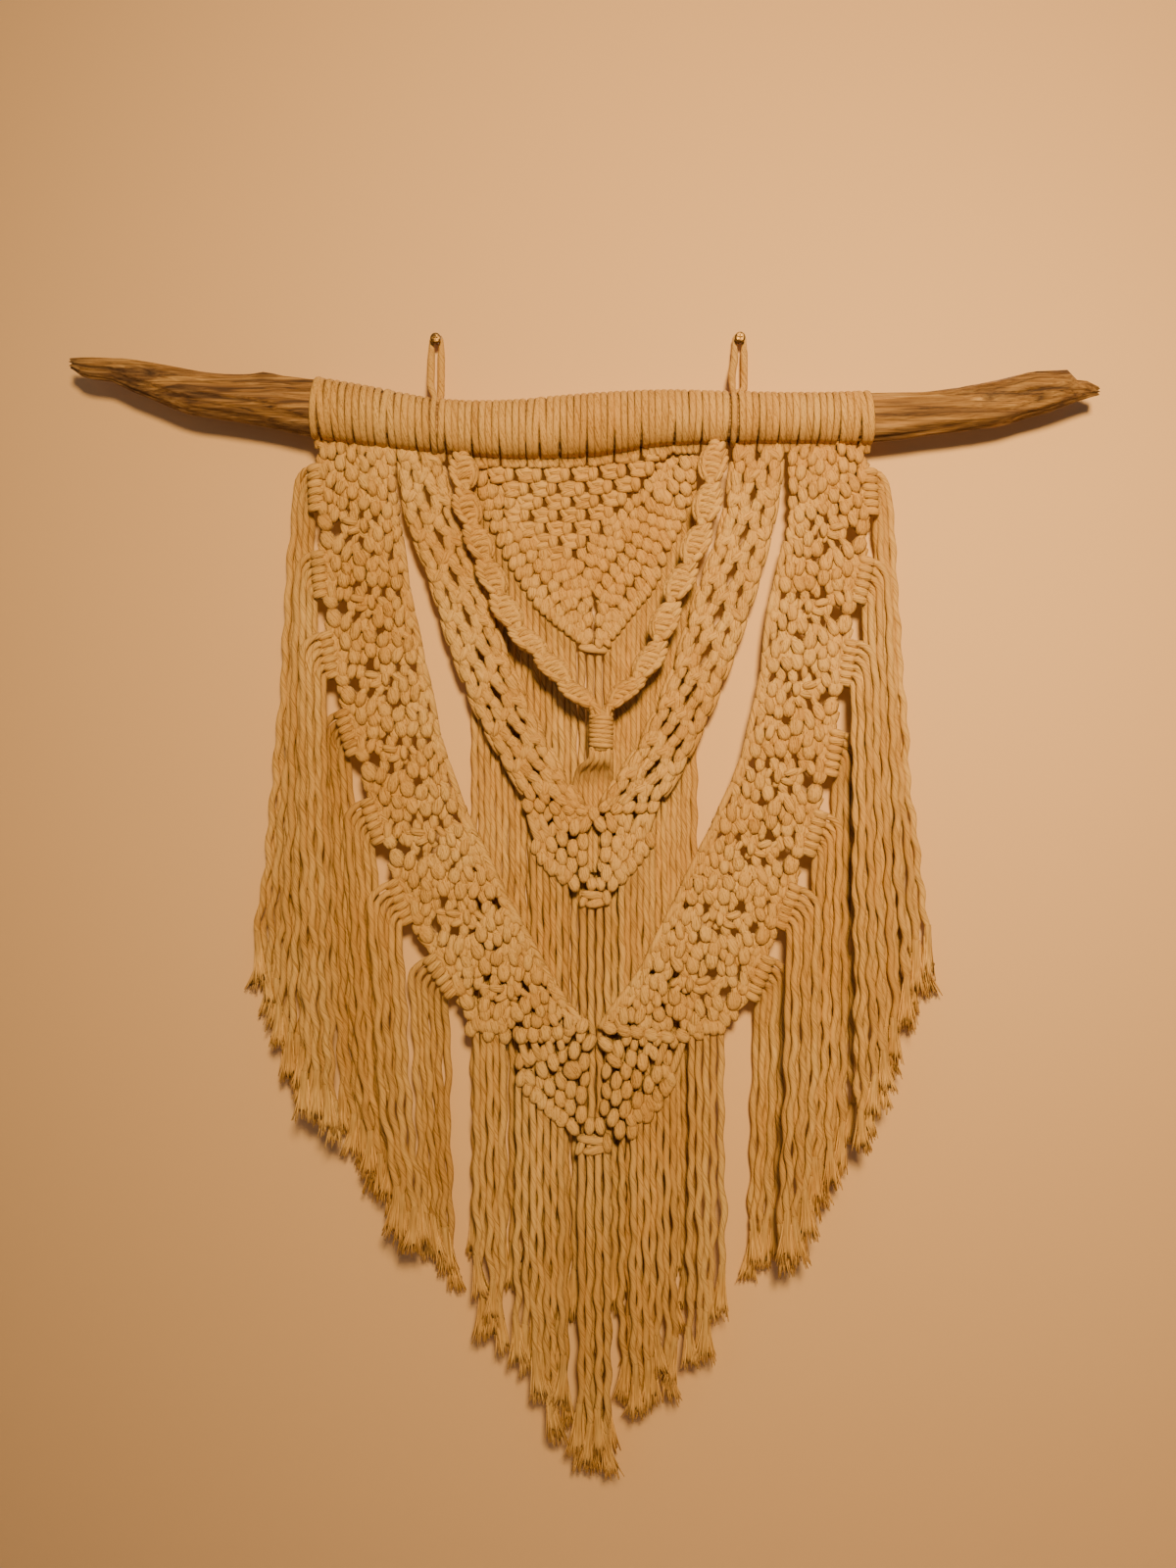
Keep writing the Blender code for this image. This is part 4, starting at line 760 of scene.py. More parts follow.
def multiply(material, factor, first, second):
    kind = {"data_type": "RGBA", "blend_type": "MULTIPLY"}
    return add_node(material, "ShaderNodeMix", kind, {0: factor}, {6: first, 7: second})


def darken(material, amount, colour, dark):
    """A colour that goes over to a dark one by an amount."""
    links = {0: amount, 6: colour}
    return add_node(material, "ShaderNodeMix", {"data_type": "RGBA"}, {7: linear(dark)}, links)


def new_material(name):
    material = bpy.data.materials.new(name)
    material.use_nodes = True
    return material, material.node_tree.nodes["Principled BSDF"]


def natural_cotton():
    """Natural cotton cord, single strand, softly twisted and undyed.

    It is warm ecru and quite matt, with fibres that lie slantwise round each cord, a soft fuzz
    that lifts the edges and shadowy grooves between the threads."""
    material, shader = new_material("natural_cotton_cord")
    lay = add_node(material, "ShaderNodeAttribute", {"attribute_name": "lay"})
    tone = add_node(material, "ShaderNodeAttribute", {"attribute_name": "tone"})
    place = add_node(material, "ShaderNodeTexCoord")
    # A thread is about 0.6 mm thick and is drawn 0.8 mm, so that it shows, and 20 mm long.
    threads = add_noise(material, (lay, "Vector"), (1.25, 1.25, 0.05), Detail=1.2, Roughness=0.55)
    # Fuzz in flecks of about 0.4 mm, and patches of 70 mm where the cord is a little paler.
    fuzz = add_noise(material, (lay, "Vector"), (2.4, 2.4, 0.5), Detail=2.0)
    patches = add_noise(material, (place, "Object"), 14.0, Detail=2.0)
    # the threads' colour is darker where their grooves are: partly the fibres' own streaks, partly painted
    # shade between the threads
    thread_streaks_and_groove_shade = add_ramp(
        material, (threads, "Fac"), (0.32, "#A6824B"), (0.46, "#D1AD70"), (0.66, "#DEBA7B")
    )
    halved = add_node(material, "ShaderNodeMath", {"operation": "MULTIPLY"}, {1: 0.5}, {0: (tone, "Fac")})
    # up to tone 1 each cord's own tone; above it the paler brushed ends, partly painted light
    cord_tone_and_painted_light = add_ramp(
        material, (halved, "Value"),
        (0.0, "#DDD2BF"), (0.25, "#EAE6DC"), (0.5, "#EBE2CF"), (0.75, "#FFFAEE"),
    )
    patch_colour = add_ramp(material, (patches, "Fac"), (0.35, "#F2E9DC"), (0.65, "#FFFFFF"))
    by_cord = multiply(material, 1.0, (thread_streaks_and_groove_shade, "Color"), (cord_tone_and_painted_light, "Color"))
    by_patch = multiply(material, 1.0, (by_cord, 2), (patch_colour, "Color"))
    rise = add_node(
        material, "ShaderNodeMath", {"operation": "MULTIPLY_ADD"}, {1: 0.3},
        {0: (fuzz, "Fac"), 2: (threads, "Fac")},
    )
    bump = add_node(
        material, "ShaderNodeBump", {}, {"Strength": 1.0, "Distance": 0.0009}, {"Height": (rise, "Value")}
    )
    finish = {
        "Roughness": 0.95, "Specular IOR Level": 0.1,
        "Sheen Weight": 0.05, "Sheen Roughness": 0.6, "Sheen Tint": linear("#FFE0B0"),
    }
    fit_node(material, shader, finish, {"Base Color": (by_patch, 2), "Normal": (bump, "Normal")})
    return material


def weathered_driftwood():
    """Weathered driftwood, stripped of its bark and worn smooth.

    Tan and brown streaks run along the grain, with dark cracks, a dark patch of bark, darker ends and a dull
    surface; painted shade darkens the underside and the right arm."""
    material, shader = new_material("weathered_driftwood")
    place = add_node(material, "ShaderNodeTexCoord")
    # Grain lines about 1 mm apart and 80 mm long, along the branch.
    grain = add_noise(
        material, (place, "Object"), (11.0, 560.0, 560.0), Detail=5.0, Roughness=0.62, Distortion=0.4
    )
    # Broad streaks 9 mm wide and 110 mm long.
    streaks = add_noise(material, (place, "Object"), (9.0, 110.0, 110.0), Detail=3.0, Distortion=0.8)
    hollow = add_node(material, "ShaderNodeAttribute", {"attribute_name": "hollow"})
    darkening = add_node(material, "ShaderNodeAttribute", {"attribute_name": "darkening"})
    streak_colour = add_ramp(
        material, (streaks, "Fac"),
        (0.30, "#5E442A"), (0.42, "#8C6A42"), (0.55, "#A98553"), (0.66, "#C09A66"), (0.80, "#8E6C46"),
    )
    grain_colour = add_ramp(
        material, (grain, "Fac"), (0.34, "#4A331E"), (0.47, "#C8B496"), (0.62, "#FFFFFF")
    )
    wood = multiply(material, 0.85, (streak_colour, "Color"), (grain_colour, "Color"))
    # darker in the cracks and sunk knots by their depth: partly their own darker wood, partly painted shade
    cracks_and_painted_shade = darken(material, (hollow, "Fac"), (wood, 2), "#2A190D")
    # darker by the bark patch, the ends and the bump, and by painted shade on the underside and the right
    # arm
    stain_and_painted_shade = darken(material, (darkening, "Fac"), (cracks_and_painted_shade, 2), "#3A2414")
    bump = add_node(
        material, "ShaderNodeBump", {}, {"Strength": 0.8, "Distance": 0.0012}, {"Height": (grain, "Fac")}
    )
    finish = {"Roughness": 0.72, "Specular IOR Level": 0.35}
    fit_node(material, shader, finish, {"Base Color": (stain_and_painted_shade, 2), "Normal": (bump, "Normal")})
    return material


def aged_brass():
    """Aged brass, turned and left to tarnish: brown, dull, a little brighter on the rims."""
    material, shader = new_material("aged_brass")
    place = add_node(material, "ShaderNodeTexCoord")
    # Tarnish in spots of about 1.5 mm.
    spots = add_noise(material, (place, "Object"), 650.0, Detail=3.0)
    colour = add_ramp(material, (spots, "Fac"), (0.35, "#3B2C1C"), (0.6, "#7A6038"), (0.8, "#9C8150"))
    rough = add_node(
        material, "ShaderNodeMapRange", {}, {"To Min": 0.62, "To Max": 0.34}, {"Value": (spots, "Fac")}
    )
    sources = {"Base Color": (colour, "Color"), "Roughness": (rough, "Result")}
    fit_node(material, shader, {"Metallic": 1.0}, sources)
    return material


COTTON = natural_cotton()
DRIFTWOOD = weathered_driftwood()
BRASS = aged_brass()


# ---------------------------------------------------------------- lark's heads round the branch
def round_branch(x, turn, reach):
    """y and z at a turn round the branch from its top over its front, a reach off the wood."""
    half, centre = branch_at(x)
    y = BRANCH_Y - (half * BRANCH_DEPTH_RATIO + reach) * math.sin(turn)
    return y, centre + (half + reach) * math.cos(turn)


def wrap_route(x, squeeze, slant):
    """Once over the front of the branch and round its back, from behind its top to behind its
    foot; squeeze draws it to its neighbours below."""
    half, centre = branch_at(x)
    route = []
    for degrees in np.linspace(*WRAP_SWEEP, 20):
        y, z = round_branch(x, math.radians(degrees), WRAP_REACH)
        low = float(ease((degrees - 95.0) / 60.0))
        leans = slant * (z - centre) / half * (1.0 if degrees > 0 else 0.0)
        route.append((x + squeeze * low + leans, y, z))
    return np.array(route)


def heading(name, left, right, count, slants, group, first_group, seed):
    """Lark's heads side by side on the branch. slants lists wraps that lie aslant, by number, and
    the wraps are drawn together below in groups, each over its own knot."""
    work = CordWork(seed)
    pitch = (right - left) / count
    for i in range(count):
        x = left + pitch * (i + 0.5) + work.rng.uniform(-0.18, 0.18)
        off = (x - first_group + group / 2) % group - group / 2
        squeeze = -off * WRAP_SQUEEZE + work.rng.uniform(-0.1, 0.1)
        route = wrap_route(x, squeeze, slants.get(i, 0.0) + work.rng.uniform(-0.25, 0.25))
        radius = pitch * 0.51 * work.rng.uniform(0.95, 1.05)
        work.cord(route, radius, 8, WRAP_FLAT, ACROSS, lay_turn=WRAP_LAY)
        # the cord that goes on down into the knot under it
        low_x, low_y, low_z = route[-4]
        under = underside(x)
        neck = (
            (low_x, low_y + 1.0, low_z + 1.0),
            (low_x - off * 0.04, BRANCH_Y + 1.0, under + 0.5),
            (low_x - off * 0.08, BRANCH_Y + 3.5, under - 4.5),
        )
        work.cord(smooth_route(neck, 2.0))
        if i % 2 == 0 and i + 1 < count:
            # the bight at the back, from one wrap of the pair to the other
            y, z = round_branch(x, math.radians(-150.0), 2.0)
            bight = ((x - 2.0, y, z), (x + pitch / 2, y + 0.4, z - 0.4), (x + pitch + 2.0, y, z))
            work.cord(bight, 2.0, 6, 0.9)
    work.make(name + "_wraps", COTTON, name)


# ---------------------------------------------------------------- bands
def outer_band(name, table, hand, seed, join):
    """Slanting rows of hitches with flower knots between. hand is 1 for the left band and -1 for
    the right one, whose places across run the other way."""
    work = CordWork(seed)

    def spot(u, place):
        return on_band(table, place, u if hand == 1 else 1 - u)

    units = range(1, BAND_UNITS + 1)
    holes = [(*spot(u, min(k + v, BAND_LEGS_END)), radius) for k in units for u, v, radius in BAND_HOLES]

    def put(u, place, wide, tall, lean):
        x, z = spot(u, place)
        dx, dz, dl, ds = work.rng.uniform(-1.0, 1.0, 4)
        y = OUTER_Y + work.rng.uniform(-0.5, 0.5)
        size = 1 + 0.05 * ds
        wide, tall = wide * size * 1.04, tall * size * 1.14
        x, z = clear_of(holes, x + 0.4 * dx, z + 0.4 * dz, wide, tall)
        hitch(work, x, y, z, hand * lean + 5 * dl, wide, tall, 10.2, 0.28)
        tail(work, x, y, z, wide, tall, 1 if hand * lean + 12 * ds > 0 else -1)

    for row in BAND_TOP:
        put(*row)
    for k in units:
        x, z = spot(0.49, k)
        flower(work, x, OUTER_Y - 0.6, z, hand)
        for u, v, wide, tall, lean in BAND_HITCHES:
            place = k + v if k < BAND_UNITS else k + v * 1.15
            if place < BAND_HITCHES_END:
                put(u, place, wide, tall, lean)
        for u0, v0, u1, v1 in BAND_LEGS:
            if k + v1 > BAND_LEGS_END:
                continue
            x0, z0 = spot(u0, k + v0)
            x1, z1 = spot(u1, k + v1)
            leg(work, (x0, OUTER_Y + 0.6, z0), (x1, OUTER_Y + 0.6, z1), 2.5, 0.8)
    for x, z, lean in join:
        hitch(work, x, OUTER_Y, z, lean, 9.6, 12.8, 9.8)
    edge = table_curve(table, 10)

    def inside(x, z):
        return edge[-1, 1] + 4.0 <= z <= edge[0, 1] - 4.0 and between_edges(edge, x, z, 2.5)

    box = (edge[:, 0].min(), edge[:, 2].max(), edge[:, 1].min(), edge[:, 1].max())
    fill(work, inside, box, OUTER_Y, holes)
    work.make(name + "_knots", COTTON, name)


def flower(work, x, y, z, hand):
    """The flower knot of an outer band: a square knot, its loop on the inner side."""
    hitches(work, x, y, z, (
        (-hand * 6.2, 0.0, 3.4, 90 + hand * 12, 6.0, 12.6, 9.6, 0.2),
        (-hand * 3.2, 0.0, -3.6, 90 - hand * 16, 5.6, 11.0, 9.6, 0.2),
        (hand * 3.9, -0.4, 0.6, -hand * 4, 6.2, 12.2, 10.2),
    ))


def inner_band(name, table, seed, join):
    """A net of small square knots, one and two to a row, with long openings between them."""
    work = CordWork(seed)
    last = len(table) - 1
    parts = 20
    fine = table_curve(table, parts)
    middle = (fine[:, :2] + fine[:, 2:]) / 2
    run = np.concatenate(([0.0], np.cumsum(np.linalg.norm(np.diff(middle, axis=0), axis=1))))

    def spot(distance, u):
        """x, y and z at a distance down the band, and the band's lean there."""
        place = float(np.interp(distance, run, np.arange(len(run)) / parts))
        x, z = on_band(table, place, u)
        x1, z1 = on_band(table, min(place + 0.1, last), u)
        x0, z0 = on_band(table, max(place - 0.1, 0.0), u)
        y = INNER_Y - 2.0 * (1 - float(ease(place / 1.5)))
        return x, y, z, math.degrees(math.atan2(x0 - x1, z0 - z1))

    netted = run[-1] - 2 * NET_MARGIN
    rows = int(round(netted / NET_PERIOD))
    period = netted / rows
    for row in range(rows):
        start = NET_MARGIN + period * row
        for u, v, wide, tall, lean, proud in NET_HITCHES:
            x, y, z, along = spot(start + v * period, u)
            dx, dz, dl = work.rng.uniform(-1.0, 1.0, 3)
            lean += along + 5 * dl
            hitch(work, x + 0.5 * dx, y - proud, z + 0.5 * dz, lean, wide * 1.2, tall * 1.12, 9.8)
        for u, v0, v1 in NET_LEGS:
            x0, y0, z0, _ = spot(start + v0 * period, u)
            x1, y1, z1, _ = spot(start + v1 * period, u)
            leg(work, (x0, y0 + 1.0, z0), (x1, y1 + 1.0, z1), CORD_R, 0.8)
    for x, z, lean in join:
        hitch(work, x, INNER_Y, z, lean, 9.2, 12.4, 9.4)
    work.make(name + "_net", COTTON, name)


# ---------------------------------------------------------------- centre panel
def centre_depth(z):
    return CENTRE_Y - 5.5 * (1 - float(ease((-92.0 - z) / 50.0)))


def panel_border(work, side):
    """Slanting rows of hitches from the panel's edge in to its square knots, -1 left and 1 right."""
    outer, inner = PANEL_BORDER[side]
    for row in range(PANEL_BORDER_ROWS):
        share = (row + 0.4) / PANEL_BORDER_ROWS
        path = [(a + (c - a) * share, 0.0, b + (d - b) * share) for (a, b), (c, d) in zip(outer, inner)]
        for x, _, z in smooth_route(path, BORDER_SPACING):
            # clear of the slit, and above it clear of the other half's hitches
            if side * (x - PANEL_SLIT_X) < (5.6 if z < PANEL_SLIT_TOP else 1.5):
                continue
            if any(math.hypot(x - cover[0], z - cover[1]) < BORDER_CLEAR for cover in work.covers):
                continue
            lean = -side * 9 + work.rng.uniform(-5, 5)
            hitch(work, x, centre_depth(z), z, lean, 9.8, 13.4, 9.8)
            tail(work, x, centre_depth(z) + 0.6, z, 8.2, 12.0, -side)


def centre_panel():
    """Square knots in turn, inside a border of hitches in slanting rows."""
    work = CordWork(31)
    holes = []
    for row_z, first, count in PANEL_ROWS:
        for k in range(count):
            x = first + PANEL_PITCH * k
            z = row_z + 0.8 + 0.09 * max(x, 0.0)
            holes.append((x, z, 1.2))
            square_knot(work, x, centre_depth(row_z), z)
            if row_z < PANEL_ROWS[0][0]:
                continue
            # the cords that come down from the branch into a knot of the first row
            top, foot = underside(x - 10.0) + 0.8, z + 3.0
            tall = max(top - foot, 0.0) + 6.5
            y = centre_depth(row_z) - 0.4
            for side in (-1, 1, 3):
                hitch(work, x - 10.4 + side * 4.6, y, (top + foot) / 2, side * 8, 7.6, tall, 9.4, 0.2)
    for side in (-1, 1):
        panel_border(work, side)
    edge = table_curve(CENTRE_PANEL, 10)

    def inside(x, z):
        if z > underside(x) - 2.0 or z < edge[-1, 1] + 1.0:
            return False
        in_slit = z < PANEL_SLIT_TOP and abs(x - PANEL_SLIT_X) < 3.8
        return not in_slit and between_edges(edge, x, z, 3.0)

    fill(work, inside, (-84.0, 84.0, -222.0, -82.0), -14.5, holes, size=(8.6, 13.0))
    work.make("centre_panel_knots", COTTON, "centre_panel")


# ---------------------------------------------------------------- triangles under each join
# x of the slit between the two sides.
INNER_SLIT = 4.4
OUTER_SLIT = 5.4


def point(name, rows, legs, y, table, slit, big=None):
    """The triangle of hitches under one side of a join. slit is where it must stay open, and big
    is the place of one broad hitch."""
    work = CordWork(len(name) + len(rows))
    for x, z, lean in rows:
        hitch(work, x, y + work.rng.uniform(-0.4, 0.4), z, lean + work.rng.uniform(-4, 4), 9.2, 14.5, 9.8)
    for x0, z0, x1, z1 in legs:
        leg(work, (x0, y + 0.6, z0), (x1, y + 0.6, z1), 2.9, 0.9)
        half_tall = math.hypot(x1 - x0, z1 - z0) / 2 + 1.0
        work.covers.append(((x0 + x1) / 2, (z0 + z1) / 2, 3.2, half_tall, math.atan2(x0 - x1, z0 - z1)))
    if big:
        hitch(work, big[0], y - 1.0, big[1], -10, 15.0, 14.0, 11.0)
    edge = table_curve(table, 10)

    def inside(x, z):
        open_here = abs(x - slit) <= 4.5 or not edge[-1, 1] + 2.0 < z < edge[0, 1] - 3.0
        return not open_here and between_edges(edge, x, z, 2.5)

    box = (edge[:, 0].min(), edge[:, 2].max(), edge[-1, 1], edge[0, 1])
    fill(work, inside, box, y, [], limit=12)
    work.make(name + "_knots", COTTON, name)


# ---------------------------------------------------------------- spirals and gathering knot
SPIRAL_HALF_TURN = 28.8    # length of a leaf
SPIRAL_HALF_WIDTH = 10.2
SPIRAL_NECK = 3.6          # half the width between two leaves
SPIRAL_HALF_THICKNESS = 5.6
SPIRAL_PITCH = 4.3         # from one bar to the next
SPIRAL_BAR_R = 2.5


def spiral(name, table, hand, seed):
    """Half knots in a row, which turn the sinnet on itself: a chain of plump leaves, each with
    bars across it, a smooth outer edge and an inner edge plaited of short loops."""
    work = CordWork(seed)
    rng = work.rng
    top_x = table[0][0]
    hung = [(top_x, 0.0, underside(top_x) + 1.0)] + [(x, 0.0, z) for x, z in table[1:]]
    line = smooth_route(hung, 1.0)
    total = len(line) - 1
    leaf = total / round(total / SPIRAL_HALF_TURN)

    def centre_at(s):
        s = min(max(s, 0.0), total - 1e-6)
        i = int(s)
        at = line[i] + (line[i + 1] - line[i]) * (s - i)
        at[1] = SPIRAL_Y_TOP + (SPIRAL_Y - SPIRAL_Y_TOP) * float(ease(s / 40))
        return at

    def half_width(s):
        narrow = 1 - 0.25 * float(ease((s - total + 24) / 24))
        swell = abs(math.sin(math.pi * s / leaf)) ** 0.8
        return (SPIRAL_NECK + (SPIRAL_HALF_WIDTH - SPIRAL_NECK) * swell) * narrow

    # bars across, all the way round
    a = 2 * math.pi * np.arange(16) / 16
    for k in range(int(total / SPIRAL_PITCH) + 1):
        s = (k + 0.3) * SPIRAL_PITCH
        centre = centre_at(s)
        full = half_width(s) / SPIRAL_HALF_WIDTH
        wide = max(half_width(s) - SPIRAL_BAR_R, 1.6)
        deep = (SPIRAL_HALF_THICKNESS - SPIRAL_BAR_R) * (0.45 + 0.55 * full) + 1.4
        tilt = hand * 0.18 + rng.uniform(-0.12, 0.12)
        bow = rng.uniform(0.9, 2.0)
        across = wide * np.sign(np.cos(a)) * np.abs(np.cos(a)) ** 0.9
        out = deep * np.sign(np.sin(a)) * np.abs(np.sin(a)) ** 0.9
        rise = across * tilt + bow * (1 - (across / wide) ** 2) * np.sign(-out)
        route = centre + np.stack((across, out, rise), axis=1)
        work.cord(route, SPIRAL_BAR_R * rng.uniform(0.9, 1.14), ring=True)
    leaves = int(round(total / leaf))
    for k in range(leaves):
        # the smooth edge of a leaf
        for inset, proud, thick in ((1.6, 0.1, 2.4), (3.6, 0.62, 2.2)):
            route = []
            for share in np.linspace(0.08, 0.92, 9):
                s = (k + share) * leaf
                centre = centre_at(s)
                centre[0] += hand * max(half_width(s) - inset, 0.0)
                centre[1] -= SPIRAL_HALF_THICKNESS * proud
                route.append(centre)
            thin = thick * np.array((0.6, 0.85, 1.0, 1.0, 1.0, 1.0, 1.0, 0.85, 0.6))
            work.cord(route, thin, lay_turn=60.0)
        # the plaited edge: short loops that lie slantwise over the ends of the bars
        for share in (0.12, 0.30, 0.48, 0.66, 0.84):
            s = (k + share + rng.uniform(-0.02, 0.02)) * leaf
            centre = centre_at(s)
            ahead = centre_at(s + 3.0) - centre_at(s - 3.0)
            along = ahead / (np.linalg.norm(ahead) + 1e-9)
            at = centre - np.array((hand * (half_width(s) - 2.3), 0.0, 0.0))
            at[1] -= SPIRAL_HALF_THICKNESS * (0.62 + 0.35 * abs(share - 0.5))
            turned = along + np.array((hand * 0.62, 0.0, 0.0))
            turned /= np.linalg.norm(turned)
            back = np.array((0.0, 2.6, 0.0))
            places = ((-4.9, 1), (-2.45, 0), (0.0, 0), (2.45, 0), (4.9, 1))
            points = [at + turned * place + back * sunk for place, sunk in places]
            work.cord(points, np.array((1.3, 2.5, 2.8, 2.5, 1.3)), lay_turn=60.0)
        # the neck: two turns of cord, one over the other
        if k:
            centre = centre_at(k * leaf)
            hitch(work, centre[0] + hand * 0.8, centre[1] - 2.6, centre[2] + 2.0, -hand * 12, 7.0, 10.5, 7.0)
            hitch(work, centre[0] - hand * 1.2, centre[1] - 3.0, centre[2] - 4.0, -hand * 38, 6.2, 9.8, 6.6)
    steps = np.arange(0.0, total, 4.0)
    core = np.array([centre_at(s) for s in steps])
    wide = np.array([max(half_width(s) - 2.4, 2.2) for s in steps])
    work.cord(core, wide, 8, 4.6 / wide, ACROSS)
    work.make(name + "_sinnet", COTTON, name)


GATHER_X = 9.6
GATHER_TOP = -278.0
GATHER_BOTTOM = -307.0
GATHER_R = 7.2
GATHER_TURNS = 7.6
GATHER_TAILS = 8
TAIL_Y = -11.2             # where the tails hang, behind the inner join
TAIL_END = -396.0


def gathering_knot():
    """A cord wound round the joined sinnets, with the tails below it."""
    work = CordWork(57)
    t = np.linspace(0.0, 1.0, int(GATHER_TURNS * 16) + 1)
    a = 2 * math.pi * GATHER_TURNS * t
    top, bottom = GATHER_TOP - 1.9, GATHER_BOTTOM + 1.9
    barrel = GATHER_R * (1 - 0.05 * np.abs(2 * t - 1) ** 2)
    turns = (GATHER_X + barrel * np.cos(a), SPIRAL_Y + barrel * np.sin(a), top + (bottom - top) * t)
    work.cord(np.stack(turns, axis=1), 2.0, 8, 1.1, (0.0, 0.0, 1.0))
    core = [(GATHER_X, SPIRAL_Y, z) for z in (top + 4.0, (top + bottom) / 2, bottom - 1.0)]
    work.cord(core, 6.4, 10)
    # the sinnets' cords, which go in at the top from both sides
    for k in range(6):
        angle = 2 * math.pi * k / 6 + 0.3
        x = GATHER_X + 4.6 * math.cos(angle)
        y = SPIRAL_Y + 4.6 * math.sin(angle)
        lift = 10.0 if math.cos(angle) > 0 else -10.0
        route = ((x + lift * 0.7, y, top + 9.5), (x + lift * 0.2, y, top + 4.0), (x, y, top - 4.0))
        work.cord(smooth_route(route, 2.5))
    for k in range(GATHER_TAILS):
        offset = k - (GATHER_TAILS - 1) / 2
        x = GATHER_X + offset * 1.9
        y = SPIRAL_Y + (2.6 if k % 2 else -2.4)
        low_x = GATHER_X - 6.0 + offset * 3.7
        depth = TAIL_Y + (0.9 if k % 2 else -0.7)
        route = (
            (x, y, GATHER_BOTTOM + 3.0),
            (x, y, GATHER_BOTTOM - 3.0),
            (low_x * 0.8 + x * 0.2, depth - 7.0, GATHER_BOTTOM - 14.0),
            (low_x, depth, GATHER_BOTTOM - 27.0),
            (low_x, depth, GATHER_BOTTOM - 55.0),
            (low_x, depth, TAIL_END),
        )
        work.cord(smooth_route(route, 4.0), 2.35)
    work.make("gathering_knot_cords", COTTON, "gathering_knot")


# ---------------------------------------------------------------- fringes
SIDE_FRINGES = 7           # on each side
FRINGE_STRANDS = 6
FRINGE_WIDE = 29.0         # between the first and the last knot of one
FRINGE_FIRST_SPAN = 0.6    # the first one's row in its band's table
FRINGE_SPAN_STEP = 1.03    # rows from one to the next
FRINGE_LAYERS = (-8.2, -18.3, -34.8)   # neighbouring fringes hang at three depths
FRINGE_STAGGER = 2.4       # how far every other strand is from that depth, forward or back
LEFT_TIPS = (-236.9, -110.2)           # x of the first and the last one's lower end
RIGHT_TIPS = (243.0, 130.0)


def side_fringe(side, table, hand, number):
    """Lark's heads on the outer edge of a band, and the strands that pour from them."""
    work = CordWork(400 + 10 * number + hand)
    rng = work.rng
    column = 0 if hand < 0 else 2
    place = FRINGE_FIRST_SPAN + FRINGE_SPAN_STEP * number
    row = smooth(table, place)
    ahead = smooth(table, place + 0.1)
    edge = np.array((row[column], 0.0, row[column + 1]))
    along = np.array((ahead[column], 0.0, ahead[column + 1])) - edge
    along /= np.linalg.norm(along)
    out = np.array((along[2], 0.0, -along[0])) * -hand
    centre = edge + out * 1.8
    lean = math.degrees(math.atan2(out[0], out[2]))
    first_tip, last_tip = LEFT_TIPS if hand < 0 else RIGHT_TIPS
    tip_centre = first_tip + (last_tip - first_tip) * number / (SIDE_FRINGES - 1)
    for j in range(FRINGE_STRANDS):
        rank = FRINGE_STRANDS - 1 - j
        at = centre + along * FRINGE_WIDE * (j / (FRINGE_STRANDS - 1) - 0.5)
        hitch(work, at[0], OUTER_Y, at[2], lean + hand * 6, 6.4, 13.0, 10.4, 0.12)
        out_x = at[0] + hand * (6.4 + 1.7 * rank if rank else 5.6)
        depth = FRINGE_LAYERS[number % 3] + (FRINGE_STAGGER if j % 2 else -FRINGE_STAGGER)
        tip_x = tip_centre + hand * (rank - 2.5) * 3.5 + rng.uniform(-1.0, 1.0)
        tip_z = at_x(CONTOUR, tip_x)[0] + rng.uniform(0.0, 14.0)
        root = at + out * 4.0
        fall_z = root[2] - 6.0 - rank
        straight_z = fall_z - 32.0
        drop = (root[2] - straight_z) / (root[2] - tip_z)
        route = [
            (at[0], OUTER_Y + 2.0, at[2]),
            (root[0] + hand * 1.5, OUTER_Y * 0.7 + depth * 0.3, root[2] + 0.2),
            (out_x, OUTER_Y * 0.4 + depth * 0.6, fall_z),
            (out_x + (tip_x - out_x) * drop, depth, straight_z),
            (out_x + (tip_x - out_x) * 0.5, depth, (straight_z + tip_z) / 2),
        ]
        hanging_strand(work, route, (tip_x, depth, tip_z), 2.6, 1.15)
    name = "fringe_%s_%d" % (side, number + 1)
    work.make(name + "_strands", COTTON, name)


def under_edge(table, column, start, stop, count):
    """Points that run along an edge of a panel, a gap away from it on the outside."""
    points = []
    hand = -1 if column == 0 else 1
    for i in range(count + 1):
        place = start + (stop - start) * i / count
        row = smooth(table, place)
        back = smooth(table, max(place - 0.05, 0.0))
        ahead = smooth(table, min(place + 0.05, len(table) - 1))
        along = (ahead - back)[column:column + 2]
        along /= np.linalg.norm(along)
        out = np.array((along[1], -along[0])) * -hand
        points.append(tuple(row[column:column + 2] + out * EDGE_GAP))
    return points


